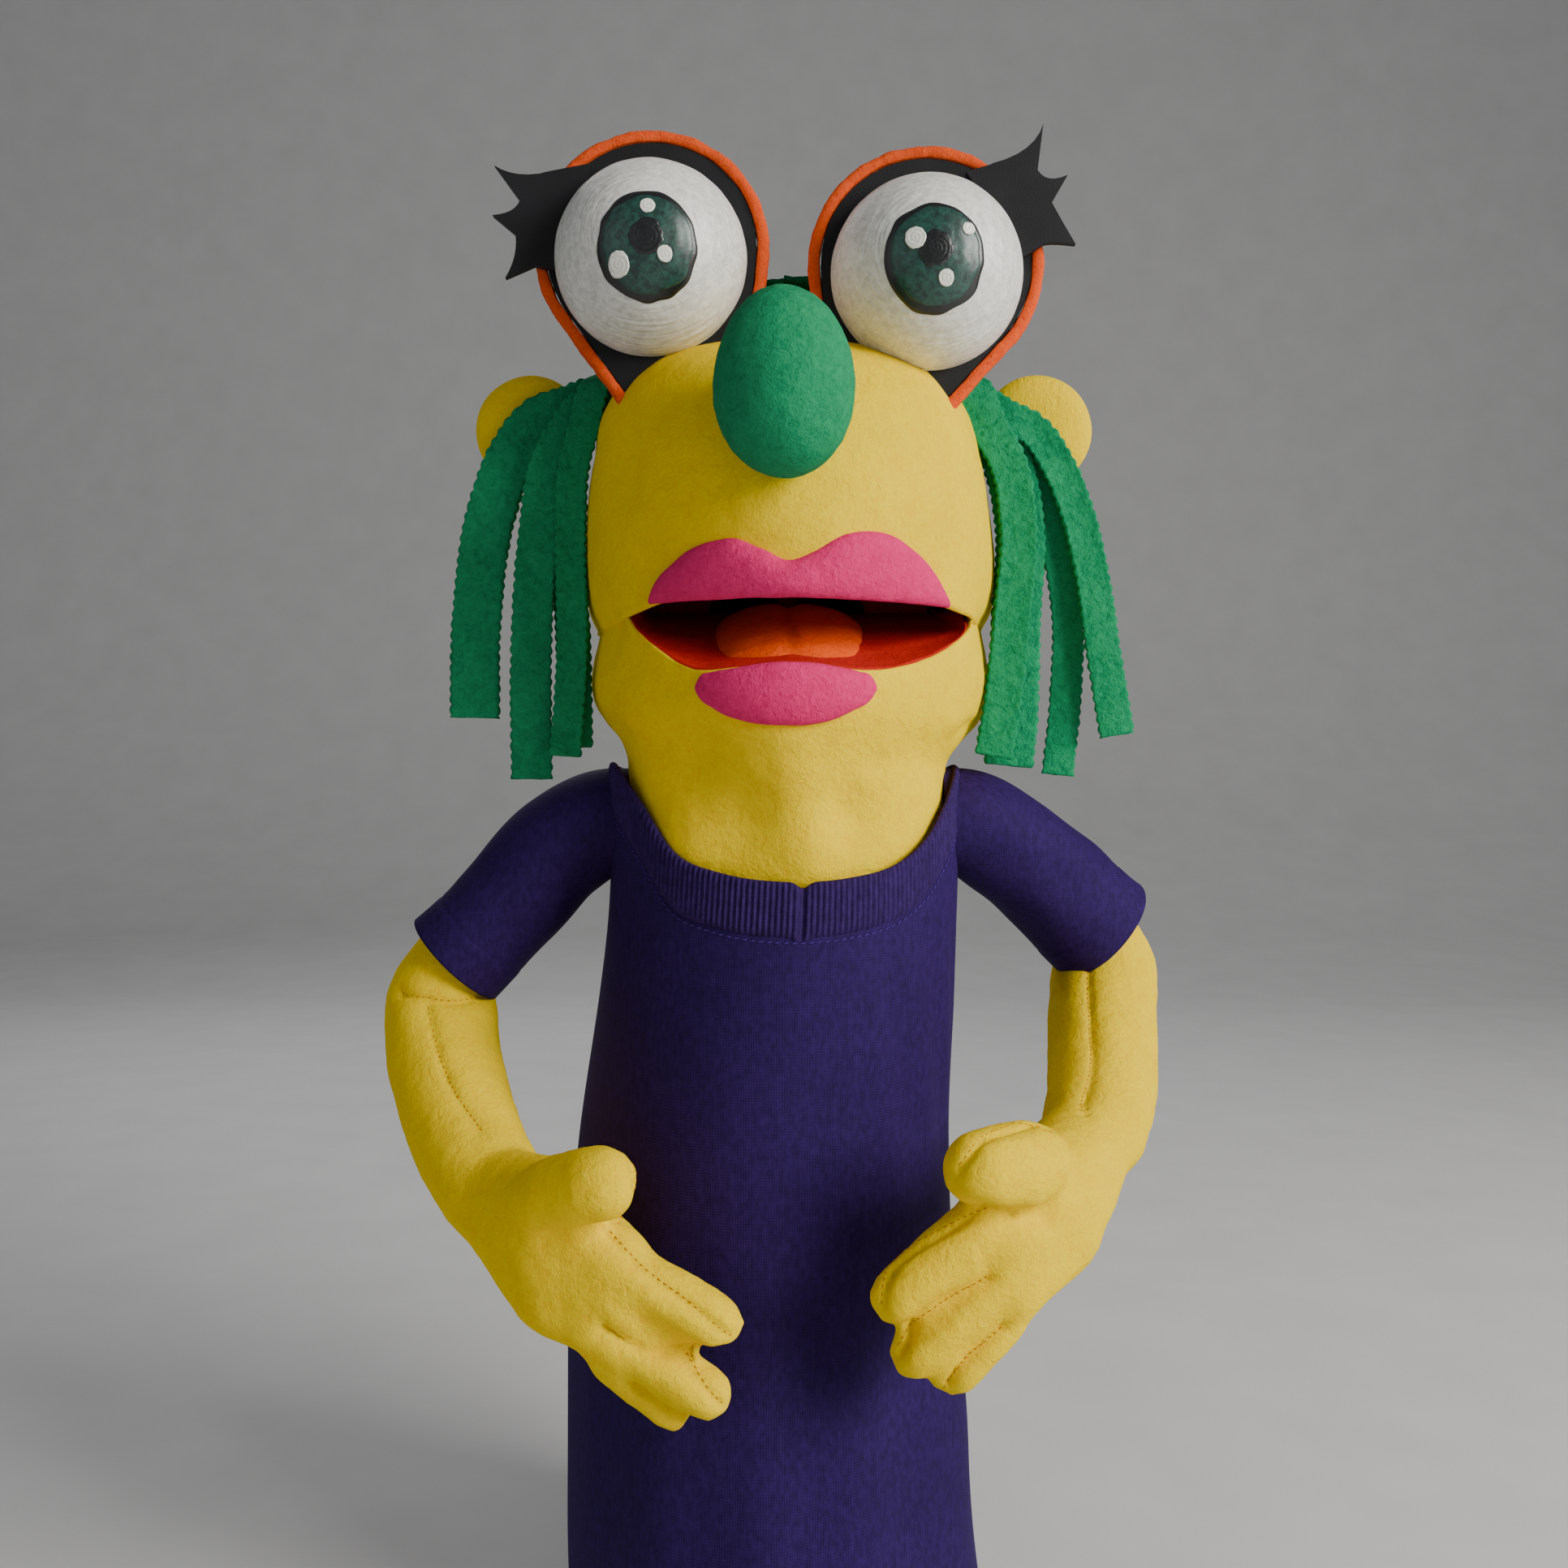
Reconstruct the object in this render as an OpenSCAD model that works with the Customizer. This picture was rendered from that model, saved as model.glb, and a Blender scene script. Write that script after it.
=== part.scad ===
// Moving mouth hand puppet: a fleece figure with a foam head that a hand works from inside.
// Millimetres. +X is the figure's own left, the face looks along -Y, +Z is up.
// The origin is the centre of the opening at the hem.

/* [Body sleeve and shirt] */
// Inner radius of the opening that the forearm goes into
opening_r = 65; // [63:0.5:66]
// Length of the straight part of that opening
opening_len = 30; // [20:5:40]
// Outer radius of the shirt at the chest
chest_r = 58; // [57.5:0.5:59]
// Height of the collar's top edge at the front
collar_z = 252; // [248:1:254]
// Width of the ribbed collar band
collar_band = 17; // [12:1:20]
// Width of the folded hem band
hem_band = 16; // [10:1:25]

/* [Head] */
// Half width of the head across the cheeks
cheek_r = 68; // [66:0.5:69]
// Height of the centre of the ball-shaped neck, where the head nods
neck_z = 262; // [261:0.5:263]
// Radius of the ball-shaped neck
neck_r = 54; // [52:0.5:54.5]
// Height of the top of the head
crown_z = 439; // [436:1:442]
// Height of the mouth hinge
hinge_z = 340; // [339:0.5:341]
// How far the mouth hinge lies behind the frame's axis
hinge_y = 20; // [18:0.5:21]
// Slope of the lower mouth board as the mouth rests half open
mouth_slope = 17.5; // [16:0.5:19]
// Radius of the half-ball eyes
eye_r = 30; // [28:0.5:31]
// Width of the egg-shaped nose
nose_w = 39; // [34:1:42]
// Height of the egg-shaped nose
nose_h = 52; // [46:1:56]

/* [Hair] */
// Thickness of the fleece strips
strip_t = 2; // [1.5:0.1:2.4]

/* [Arms] */
// Outer radius of the shirt's sleeves
sleeve_r = 16.5; // [15.5:0.5:17]
// Radius of the stuffed forearm at the elbow
forearm_r = 18.5; // [17:0.5:19]
// Radius of the armature wire
wire_r = 1.2; // [0.8:0.1:1.5]

/* [Hidden] */

left = 1;
right = -1;
fine = 96;
coarse = 20;
gap = 0.3;
far = 200;

fleece = 1.8;
jersey = 1.4;
felt = 1.2;
board = 3;

// Shirt
sleeve_top_z = 232;
sleeve_top_r = chest_r - jersey - gap - fleece - 0.3;
waist_z = 230;
opening_out_r = opening_r + fleece;
neckline_rise = 38;
neckline_slope = 0.655;

// Head outline: [height, half width, front reach, back reach, centre's y]
head_levels = [
    [292, 56, 54, 50, 0], [300, 60, 60, 51, 0], [312, 64, 66, 54, 0], [326, 67, 70, 59, 0],
    [341, cheek_r, 71, 62, 0], [355, cheek_r, 76, 63, 0], [372, cheek_r - 1, 76, 64, 0],
    [388, cheek_r - 3, 71, 62, 0], [402, cheek_r - 7, 62, 57, 0], [413, cheek_r - 14, 51, 50, 1],
    [424, 44, 28, 36, 5], [432, 32, 20, 23, 11], [crown_z, 12, 8, 9, 14]
];
jaw_levels = [
    [290, 42, 49, 40, 0], [294, 49, 60, 44, 0], [299, 54.5, 67, 48, 0],
    [307, 62, 71, 50, 0], [320, 67, 72, 50, 0], [342, cheek_r, 71, 50, 0]
];
lip_h = 4;
mouth_edge_z = 341;
nape_y = 27;
ceiling_z = 346.5;
board_w = 56;
board_len = 80;
hinge_room = 1.5;
cavity_w = 95;
cavity_front = -57;
cavity_len = 109;
cavity_top = 373;
head_base = 292;
chin_room = 299;

nose_at = [0, -92, 391];
ear_at = [86, 8, 401];

// Eyes: own left then own right
eye_x = [44.5, -41.5];
eye_z = [440, 444.5];
plate_z = [443.5, 448.5];
eye_y = -33;
plate_r = 33;
plate_t = 4;
rim_w = 3.8;
tail_r = 12;
tail = [27, 393];

// Arms: own left then own right
shoulder_x = 64;
shoulder_z = 262;
elbow = [[112, 28, 215], [-113, 2, 211]];
wrist = [[97, -30, 170], [-88, -45, 156]];
elbow_room = 22.5;
wrist_r = 15;
wrist_room = 19;

function pick(pair, s) = s > 0 ? pair[0] : pair[1];
function mirrored(p, s) = [s * p.x, p.y, p.z];
function level(rows, z, k) = lookup(z, [for (r = rows) [r[0], r[k]]]);
function ring(row, grow, n = 40) = [
    for (i = [0:n - 1]) let(a = 360 * i / n)
        [(row[1] + grow) * cos(a), row[4] + ((sin(a) < 0 ? row[2] : row[3]) + grow) * sin(a), row[0]]
];
function oval(rx, ry, a0, a1, n = 32) = [
    for (i = [0:n]) let(a = a0 + (a1 - a0) * i / n) [rx * cos(a), ry * sin(a)]
];

// A closed skin over rings that each hold the same even number of points
module loft(rings) {
    n = len(rings[0]);
    m = len(rings);
    sides = [
        for (j = [0:m - 2], i = [0:n - 1]) let(k = (i + 1) % n)
            for (t = [[0, n, n + 1], [0, n + 1, 1]])
                [for (c = t) j * n + (c % n == 0 ? i : k) + (c >= n ? n : 0)]
    ];
    cap = [
        for (i = [0:n / 2 - 2]) for (t = [[i, i + 1, n - 2 - i], [i, n - 2 - i, n - 1 - i]]) t
    ];
    lid = [for (t = cap) [for (k = [2:-1:0]) t[k] + (m - 1) * n]];
    polyhedron(points = [for (r = rings, p = r) p], faces = concat(sides, cap, lid));
}

module head_form(grow, from_z = 0) {
    loft([for (row = head_levels) if (row[0] >= from_z) ring(row, grow)]);
}

module jaw_form(grow) {
    loft([for (row = jaw_levels) ring(row, grow)]);
}

// An outline in the figure's side view (y, z), pushed through along X
module side_cut(outline) {
    rotate([90, 0, 90])
        linear_extrude(2 * far, center = true)
            polygon(outline);
}

// An outline in the figure's front view (x, z), from y0 back to y1
module front_cut(outline, y0, y1) {
    translate([0, y1, 0])
        rotate([90, 0, 0])
            linear_extrude(y1 - y0)
                polygon(outline);
}

// A solid with its axis from point a to point b, drawn along +Z
module along(a, b) {
    d = b - a;
    translate(a)
        rotate([0, acos(d.z / norm(d)), atan2(d.y, d.x)])
            children();
}

module capsule(a, b, ra, rb) {
    hull() {
        translate(a) sphere(r = ra, $fn = coarse);
        translate(b) sphere(r = rb, $fn = coarse);
    }
}

// Everything below a scooped neckline whose front edge is at height z
module below_neckline(z) {
    side_cut([
        [-chest_r - 20, -1], [chest_r + 20, -1], [chest_r + 20, z + neckline_rise - 9],
        [25, z + neckline_rise - 8], [0, z + neckline_rise - 1],
        [-chest_r - 20, z - neckline_slope * 20]
    ]);
}

// Turns the lower mouth's pieces from level to their resting slope about the hinge
module on_jaw() {
    translate([0, hinge_y, hinge_z])
        rotate([mouth_slope, 0, 0])
            children();
}

// A half-oval board whose straight edge lies just in front of the hinge
module half_oval(w, length, t) {
    translate([0, -hinge_room, 0])
        linear_extrude(t)
            polygon(oval(w, length, 180, 360));
}

/* ---- Torso ---- */

module body_sleeve() {
    color("gold")
        rotate_extrude($fn = fine)
            polygon([
                [opening_r, 0], [opening_out_r, 0], [opening_out_r, opening_len],
                [sleeve_top_r + fleece, sleeve_top_z], [sleeve_top_r, sleeve_top_z],
                [opening_r, opening_len]
            ]);
}

module shirt_body() {
    inner = opening_out_r + gap;
    color("indigo")
        intersection() {
            rotate_extrude($fn = fine)
                polygon([
                    [inner, 0], [inner + jersey, 0], [inner + jersey, opening_len],
                    [chest_r, waist_z], [chest_r, far + 100], [chest_r - jersey, far + 100],
                    [chest_r - jersey, waist_z], [inner, opening_len]
                ]);
            below_neckline(collar_z - collar_band);
        }
}

module shirt_collar() {
    color("indigo")
        difference() {
            intersection() {
                difference() {
                    cylinder(r = chest_r + 0.6, h = far + 100, $fn = fine);
                    cylinder(r = chest_r - jersey, h = far + 100, $fn = fine);
                }
                below_neckline(collar_z);
            }
            translate([0, 0, 0.05]) below_neckline(collar_z - collar_band);
        }
}

module shirt_hem() {
    inner = opening_out_r + gap + jersey + 0.1;
    color("indigo")
        difference() {
            cylinder(r = inner + jersey, h = hem_band, $fn = fine);
            translate([0, 0, -1]) cylinder(r = inner, h = hem_band + 2, $fn = fine);
        }
}

/* ---- Neck and head ---- */

module neck_ring() {
    ring_r = neck_r - 4.5;
    color("khaki")
        translate([0, 0, neck_z])
            difference() {
                intersection() {
                    sphere(r = ring_r, $fn = fine);
                    translate([0, 0, -18]) cylinder(r = far, h = 18);
                }
                cylinder(r = ring_r - 8.5, h = far, center = true, $fn = fine);
            }
}

module neck_skin() {
    color("gold")
        intersection() {
            translate([0, 0, neck_z])
                difference() {
                    sphere(r = neck_r, $fn = fine);
                    sphere(r = neck_r - fleece, $fn = fine);
                }
            side_cut([
                [-80, neck_z - 24], [80, neck_z - 24], [80, neck_z + 29], [nape_y, neck_z + 29],
                [12, neck_z + 10], [-80, neck_z + 6]
            ]);
        }
}

module head_foam() {
    color("khaki")
        difference() {
            head_form(-fleece - 0.2, mouth_edge_z + 14);
            translate([-far, -far, crown_z - fleece - 0.2]) cube([2 * far, 2 * far, far]);
            translate([-cavity_w / 2, cavity_front, 0]) cube([cavity_w, cavity_len, cavity_top]);
            translate([0, 28, cavity_top - 1]) cylinder(r = 20, h = 22, $fn = fine);
            eye_slots();
        }
}

module head_skin() {
    color("gold")
        difference() {
            head_form(0);
            intersection() {
                head_form(-fleece);
                translate([-far, -far, 0]) cube([2 * far, 2 * far, crown_z - fleece]);
            }
            translate([-far, nape_y - far, -1]) cube([2 * far, far, mouth_edge_z + 1]);
            translate([-far, -far, 0]) cube([2 * far, 2 * far, head_base + 0.1]);
            eye_slots();
        }
}

module mouth_board_upper() {
    color("dimgray")
        translate([0, hinge_y, ceiling_z + felt])
            half_oval(board_w, board_len, board);
}

module mouth_lining_upper() {
    color("darkred")
        translate([0, hinge_y, ceiling_z])
            half_oval(board_w, board_len, felt);
}

module throat_patch() {
    color("black")
        translate([0, hinge_y + 1, hinge_z - 3])
            rotate([90, 0, 0])
                mirror([0, 0, 1])
                    linear_extrude(felt)
                        polygon(concat(
                            [[-26, 0], [28, 0]],
                            [for (a = [0:15:180]) [15.5 + 12.5 * cos(a), 4 + 8 * sin(a)]],
                            [for (a = [0:15:180]) [-13.5 + 12.5 * cos(a), 4 + 8 * sin(a)]]
                        ));
}

module mouth_hinge_tape() {
    color("darkred")
        translate([-board_w + 6, hinge_y + 1 + felt + 0.1, hinge_z - 3])
            cube([2 * board_w - 12, felt, ceiling_z + felt + board - hinge_z + 3]);
}

module strap(w, deep, high, t) {
    difference() {
        translate([-w / 2 - t, 0, 0]) cube([w + 2 * t, deep, high + t]);
        translate([-w / 2, -1, -1]) cube([w, deep + 2, high + 1]);
    }
}

module finger_strap() {
    base = ceiling_z + felt + board;
    color("black")
        translate([0, -34, base])
            strap(90, 22, cavity_top - base - 2, felt);
}

// Outline of the upper lip in the front view, two peaks and a dip
function lip_upper_outline() = [
    [-39, 335], [-33, 345], [-23, 351], [-13, 351.5], [-5, 347.5], [1, 345.5], [8, 347.5],
    [17, 353], [27, 354.5], [38, 350.5], [46, 343.5], [49, 335]
];
function lip_lower_outline() = [
    [-25, 310], [-12, 312.5], [3, 313.5], [18, 312.5], [26, 310],
    [22, 304], [12, 299.5], [1, 298], [-11, 299.5], [-20, 304]
];

module lip_upper() {
    color("hotpink")
        intersection() {
            difference() {
                loft([for (z = [330, 341, 355, 372])
                    ring([z, level(head_levels, z, 1), level(head_levels, z, 2),
                          level(head_levels, z, 3), 0], lip_h)]);
                loft([for (z = [328, 341, 355, 374])
                    ring([z, level(head_levels, z, 1), level(head_levels, z, 2),
                          level(head_levels, z, 3), 0], 0.1)]);
            }
            front_cut(lip_upper_outline(), -far / 2, -30);
        }
}

module nose_profile(grow) {
    rotate_extrude($fn = fine)
        polygon([
            for (i = [0:18]) let(a = -90 + 10 * i)
                [max(0, (nose_w / 2 + grow) * cos(a)), (nose_h / 2 + grow) * sin(a)]
        ]);
}

module nose_foam() {
    color("khaki")
        translate(nose_at)
            nose_profile(-fleece - 0.1);
}

module nose_cover() {
    color("seagreen")
        translate(nose_at)
            difference() {
                nose_profile(0);
                nose_profile(-fleece);
            }
}

// A plate's outline: a round top with a tail that runs down and in behind the snout
module plate_outline(s, grow) {
    hull() {
        translate([pick(eye_x, s), pick(plate_z, s)]) circle(r = plate_r + grow, $fn = 48);
        translate([s * tail.x, tail.y]) circle(r = tail_r + grow, $fn = 24);
    }
}

module plate_slab(s, grow, t) {
    rotate([90, 0, 0])
        linear_extrude(t)
            plate_outline(s, grow);
}

module eye_slots() {
    for (s = [left, right]) {
        translate([0, eye_y + plate_t + 1.2, 0])
            plate_slab(s, rim_w + 0.2, plate_t + 2.4);
        translate([pick(eye_x, s), eye_y, pick(eye_z, s)])
            sphere(r = eye_r + gap, $fn = fine);
    }
}

module eye_plate(s) {
    color("black")
        translate([0, eye_y + plate_t, 0])
            plate_slab(s, 0, plate_t);
}

module eye_rim(s) {
    color("coral")
        difference() {
            translate([0, eye_y + plate_t + 1, 0]) plate_slab(s, rim_w, plate_t + 2);
            translate([0, eye_y + plate_t + 2, 0]) plate_slab(s, 0.05, plate_t + 4);
        }
}

module eye(s) {
    color("white")
        translate([pick(eye_x, s), eye_y, pick(eye_z, s)])
            difference() {
                sphere(r = eye_r, $fn = fine);
                translate([-far, 0, -far]) cube(2 * far);
            }
}

// Three points on each lash, measured from the eye's centre
lash_shape = [
    [[13, 31], [20, 33], [36, 45], [33, 30], [42.5, 30], [38.5, 20.5], [44.5, 9], [36, 7.5],
     [30.5, 5]],
    [[21, 28], [31, 26], [47, 28], [40, 16], [47.5, 13], [41.5, 7], [43.5, -6], [36, -3], [30.5, -4]]
];

module lash(s) {
    color("black")
        translate([pick(eye_x, s), eye_y - 1.2, pick(eye_z, s)])
            difference() {
                rotate([90, 0, 0])
                    linear_extrude(2.4)
                        polygon([for (p = pick(lash_shape, s)) [s * p.x, p.y]]);
                translate([0, 1.2, 0]) sphere(r = eye_r + 0.1, $fn = fine);
            }
}

module ear(s) {
    color("gold")
        translate(mirrored(ear_at, s))
            difference() {
                rotate([90, 0, 0])
                    loft([for (k = [-5:5]) let(c = sqrt(1 - k * k / 27)) [
                        for (i = [0:31]) let(a = 360 * i / 32)
                            [(13.5 + 5 * c) * cos(a), (14 + 5 * c) * sin(a), 1.1 * k]]]);
                translate(-mirrored(ear_at, s)) head_form(0.05);
            }
}

module hair_crown() {
    color("seagreen")
        difference() {
            intersection() {
                head_form(8, 380);
                translate([-far, -9, 0]) cube([2 * far, 44, far * 3]);
            }
            head_form(0.1);
            translate([-far, -far, 0]) cube([2 * far, 2 * far, 402]);
            for (s = [left, right])
                translate(mirrored(ear_at, s)) cube([46, 15, 44], center = true);
        }
}

/* ---- Jaw ---- */

module mouth_board_lower() {
    color("dimgray")
        on_jaw()
            translate([0, 0, -board - felt - 0.3])
                half_oval(board_w, board_len, board);
}

module mouth_lining_lower() {
    color("darkred")
        on_jaw()
            translate([0, 0, -felt - 0.3])
                half_oval(board_w, board_len, felt);
}

module tongue() {
    color("coral")
        on_jaw()
            translate([2, -34, -0.3])
                linear_extrude(5.5)
                    polygon(oval(23, 28, 0, 345, 23));
}

// The space above the lower mouth board, which the chin's pieces stay out of
module above_jaw(drop) {
    on_jaw()
        translate([-far, -far, -drop]) cube([2 * far, far + 40, far]);
}

module lip_lower() {
    color("hotpink")
        intersection() {
            difference() {
                jaw_form(lip_h);
                jaw_form(0.1);
            }
            front_cut(lip_lower_outline(), -far / 2, -30);
        }
}

module jaw_back_cut() {
    translate([-far, 10, 0]) cube([2 * far, far, 2 * far]);
}

module jaw_skin() {
    color("gold")
        difference() {
            jaw_form(0);
            jaw_form_inner();
            above_jaw(0.3);
            jaw_back_cut();
        }
}

module jaw_form_inner() {
    loft([for (row = jaw_levels)
        ring([max(row[0], head_base - 0.2), row[1], row[2], row[3], 0], -fleece)]);
}

module jaw_foam() {
    color("khaki")
        difference() {
            loft([for (row = jaw_levels)
                ring([max(row[0], head_base), row[1], row[2], row[3], 0], -fleece - 0.2)]);
            above_jaw(board + felt + 0.5);
            jaw_back_cut();
            translate([-19, -46, chin_room]) cube([38, far, far]);
        }
}

module thumb_strap() {
    color("black")
        translate([0, -30, chin_room + 0.1])
            difference() {
                translate([-18.8, 0, 0]) cube([37.6, 14, 40]);
                translate([-17.6, -1, felt]) cube([35.2, 16, 60]);
                translate([0, 30, -chin_room - 0.1]) above_jaw(board + felt + 0.4);
            }
}

/* ---- Hair strips ---- */

// A flat strip hung along points [x, z], w wide, with its middle at y and its ends square
module hair_strip(path, w, y) {
    color("seagreen")
        loft([for (p = path) [
            [p.x - w / 2, y - strip_t / 2, p.y], [p.x + w / 2, y - strip_t / 2, p.y],
            [p.x + w / 2, y + strip_t / 2, p.y], [p.x - w / 2, y + strip_t / 2, p.y]
        ]]);
}

module hair_left_inner() { hair_strip([[75, 290], [78, 330], [79, 366], [78, 397]], 16, -4.5); }
module hair_left_middle() { hair_strip([[91, 283], [93, 330], [88, 370], [82, 399]], 9, -1.5); }
module hair_left_outer() { hair_strip([[110, 297], [102, 340], [95, 376], [87, 399]], 11, -7.5); }
module hair_left_back() { hair_strip([[78, 290], [82, 340], [84, 368], [81, 396]], 12, -10.5); }
module hair_right_inner() { hair_strip([[-74, 291], [-75, 330], [-77, 366], [-77, 397]], 11, -4.5); }
module hair_right_middle() { hair_strip([[-84, 282], [-84, 330], [-83, 368], [-80, 399]], 13, -7.5); }
module hair_right_outer() { hair_strip([[-103, 303], [-101, 340], [-95, 374], [-86, 399]], 16, -1.5); }
module hair_right_back() { hair_strip([[-76, 294], [-77, 335], [-79, 368], [-79, 396]], 9, -10.5); }

/* ---- Arms ---- */

function shoulder(s) = [s * shoulder_x, 0, shoulder_z];
function toward(a, b, d) = a + (b - a) * d / norm(b - a);

// A cone round the shirt's side that keeps the sleeve's root clear of it as the arm lifts
module armhole_room(extra) {
    cylinder(r1 = 98 + extra, r2 = chest_r + 2.5 + extra, h = 286, $fn = fine);
    translate([0, 0, 286]) cylinder(r = chest_r + 2.5 + extra, h = 20, $fn = fine);
}

module sleeve_tube(s, r_out, r_in, d0, d1) {
    a = toward(shoulder(s), pick(elbow, s), d0);
    b = toward(pick(elbow, s), shoulder(s), d1);
    along(a, b)
        difference() {
            cylinder(r = r_out, h = norm(b - a), $fn = fine);
            translate([0, 0, -1]) cylinder(r = r_in, h = norm(b - a) + 2, $fn = fine);
        }
}

module sleeve(s) {
    color("indigo")
        difference() {
            sleeve_tube(s, sleeve_r, sleeve_r - jersey, -18, elbow_room);
            armhole_room(0);
        }
}

module sleeve_hem(s) {
    reach = norm(pick(elbow, s) - shoulder(s));
    color("indigo")
        sleeve_tube(s, sleeve_r + jersey, sleeve_r + 0.1, reach - elbow_room - 7, elbow_room);
}

module upper_arm(s) {
    a = toward(shoulder(s), pick(elbow, s), 19);
    b = toward(pick(elbow, s), shoulder(s), elbow_room + 1);
    color("gold")
        along(a, b)
            difference() {
                cylinder(r = sleeve_r - jersey - 0.7, h = norm(b - a), $fn = fine);
                translate([0, 0, -1]) cylinder(r = wire_r + 0.1, h = norm(b - a) + 2, $fn = 24);
            }
}

module upper_wire(s) {
    a = toward(shoulder(s), pick(elbow, s), 20);
    b = toward(pick(elbow, s), shoulder(s), elbow_room + 2);
    color("silver")
        along(a, b) cylinder(r = wire_r, h = norm(b - a), $fn = 24);
}

module forearm(s) {
    e = pick(elbow, s);
    w = pick(wrist, s);
    color("gold")
        difference() {
            capsule(e, w, forearm_r, wrist_r);
            translate(w) sphere(r = wrist_room, $fn = 48);
            along(e, w)
                translate([0, 0, -forearm_r - 2]) cylinder(r = wire_r + 0.1, h = far, $fn = 24);
        }
}

module fore_wire(s) {
    a = toward(pick(elbow, s), pick(wrist, s), -forearm_r + 4);
    b = toward(pick(wrist, s), pick(elbow, s), wrist_room + 2);
    color("silver")
        along(a, b) cylinder(r = wire_r, h = norm(b - a), $fn = 24);
}

// Palm corners and the two ends of the thumb and of three fingers: [point, radius]
palm = [
    [[[80, -62, 166], 14], [[60, -78, 160], 11], [[80, -66, 149], 12], [[62, -77, 137], 11]],
    [[[-68, -68, 160], 14], [[-46, -80, 148], 10], [[-66, -72, 134], 12], [[-45, -80, 124], 10]]
];
digits = [
    [[[70, -80, 176], [54, -92, 176], 12], [[54, -82, 158], [31, -85, 139], 9],
     [[56, -82, 143], [36, -84, 123], 8.5], [[62, -79, 131], [47, -81, 116], 8]],
    [[[-66, -79, 165], [-50, -91, 172], 11.5], [[-44, -82, 146], [-18, -85, 132], 8.6],
     [[-46, -82, 128], [-21, -84, 111], 8.3], [[-50, -78, 119], [-31, -79, 105], 7.5]]
];

module hand(s) {
    color("gold") {
        hull() {
            translate(pick(wrist, s)) sphere(r = wrist_r, $fn = coarse);
            for (p = pick(palm, s)) translate(p[0]) sphere(r = p[1], $fn = coarse);
        }
        for (d = pick(digits, s)) capsule(d[0], d[1], d[2], d[2]);
    }
}

body_sleeve();
shirt_body();
shirt_collar();
shirt_hem();
neck_ring();
neck_skin();
head_foam();
head_skin();
mouth_board_upper();
mouth_lining_upper();
throat_patch();
mouth_hinge_tape();
finger_strap();
lip_upper();
nose_foam();
nose_cover();
eye_plate(left);  // eye_plate_left
eye_plate(right);  // eye_plate_right
eye_rim(left);  // eye_rim_left
eye_rim(right);  // eye_rim_right
eye(left);  // eye_left
eye(right);  // eye_right
lash(left);  // lash_left
lash(right);  // lash_right
ear(left);  // ear_left
ear(right);  // ear_right
hair_crown();
mouth_board_lower();
mouth_lining_lower();
tongue();
lip_lower();
jaw_foam();
jaw_skin();
thumb_strap();
hair_left_inner();
hair_left_middle();
hair_left_outer();
hair_left_back();
hair_right_inner();
hair_right_middle();
hair_right_outer();
hair_right_back();
sleeve(left);  // sleeve_left
sleeve(right);  // sleeve_right
sleeve_hem(left);  // sleeve_hem_left
sleeve_hem(right);  // sleeve_hem_right
upper_arm(left);  // upper_arm_left
upper_arm(right);  // upper_arm_right
forearm(left);  // forearm_left
forearm(right);  // forearm_right
hand(left);  // hand_left
hand(right);  // hand_right
upper_wire(left);  // upper_wire_left
upper_wire(right);  // upper_wire_right
fore_wire(left);  // fore_wire_left
fore_wire(right);  // fore_wire_right
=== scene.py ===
import math

import bmesh
import bpy
import numpy as np
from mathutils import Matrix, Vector, noise
from mathutils.bvhtree import BVHTree


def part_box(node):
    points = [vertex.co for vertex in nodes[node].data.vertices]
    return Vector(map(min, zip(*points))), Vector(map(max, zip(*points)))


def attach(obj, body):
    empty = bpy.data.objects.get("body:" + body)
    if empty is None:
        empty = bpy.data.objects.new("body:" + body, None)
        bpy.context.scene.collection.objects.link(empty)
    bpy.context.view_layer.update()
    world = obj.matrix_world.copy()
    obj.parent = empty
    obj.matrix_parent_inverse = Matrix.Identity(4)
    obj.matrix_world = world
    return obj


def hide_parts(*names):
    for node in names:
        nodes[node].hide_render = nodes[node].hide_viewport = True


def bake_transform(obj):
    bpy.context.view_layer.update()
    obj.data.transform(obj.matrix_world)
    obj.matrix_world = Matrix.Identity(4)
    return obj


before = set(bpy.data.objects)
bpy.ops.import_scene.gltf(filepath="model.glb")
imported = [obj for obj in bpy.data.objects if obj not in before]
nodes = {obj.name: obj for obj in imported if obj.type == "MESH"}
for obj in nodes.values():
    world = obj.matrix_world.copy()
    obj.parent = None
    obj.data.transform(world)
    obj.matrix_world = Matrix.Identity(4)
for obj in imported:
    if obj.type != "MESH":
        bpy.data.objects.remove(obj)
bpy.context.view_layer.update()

MM = 0.001
SIDES = {"left": 1, "right": -1}

# ---------------------------------------------------------------- values from the CAD, in millimetres


def corners(node):
    lo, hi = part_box(node)
    return np.array(lo) / MM, np.array(hi) / MM


CHEST_R = corners("shirt_collar")[1][0] - 0.6
HEM_R = corners("shirt_hem")[1][0]
HEM_TOP = corners("shirt_hem")[1][2]
NOSE_LO, NOSE_HI = corners("nose_cover")
HINGE = np.array([0.0, 20.0, 340.0])
CEILING = corners("mouth_lining_upper")[0][2]
EYE = {s: (np.array(corners(f"eye_{s}")[0]) + np.array(corners(f"eye_{s}")[1])) / 2 for s in SIDES}
EYE_Y = corners("eye_left")[1][1]
EYE_R = (corners("eye_left")[1][0] - corners("eye_left")[0][0]) / 2
for s in SIDES:
    EYE[s][1] = EYE_Y
PLATE = {"left": (44.5, 443.5), "right": (-41.5, 448.5)}
PLATE_R, TAIL, TAIL_R = 33.0, (27.0, 393.0), 12.0
RIM_W = 3.8
ELBOW = {"left": (112, 28, 215), "right": (-113, 2, 211)}
WRIST = {"left": (97, -30, 170), "right": (-88, -45, 156)}
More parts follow.
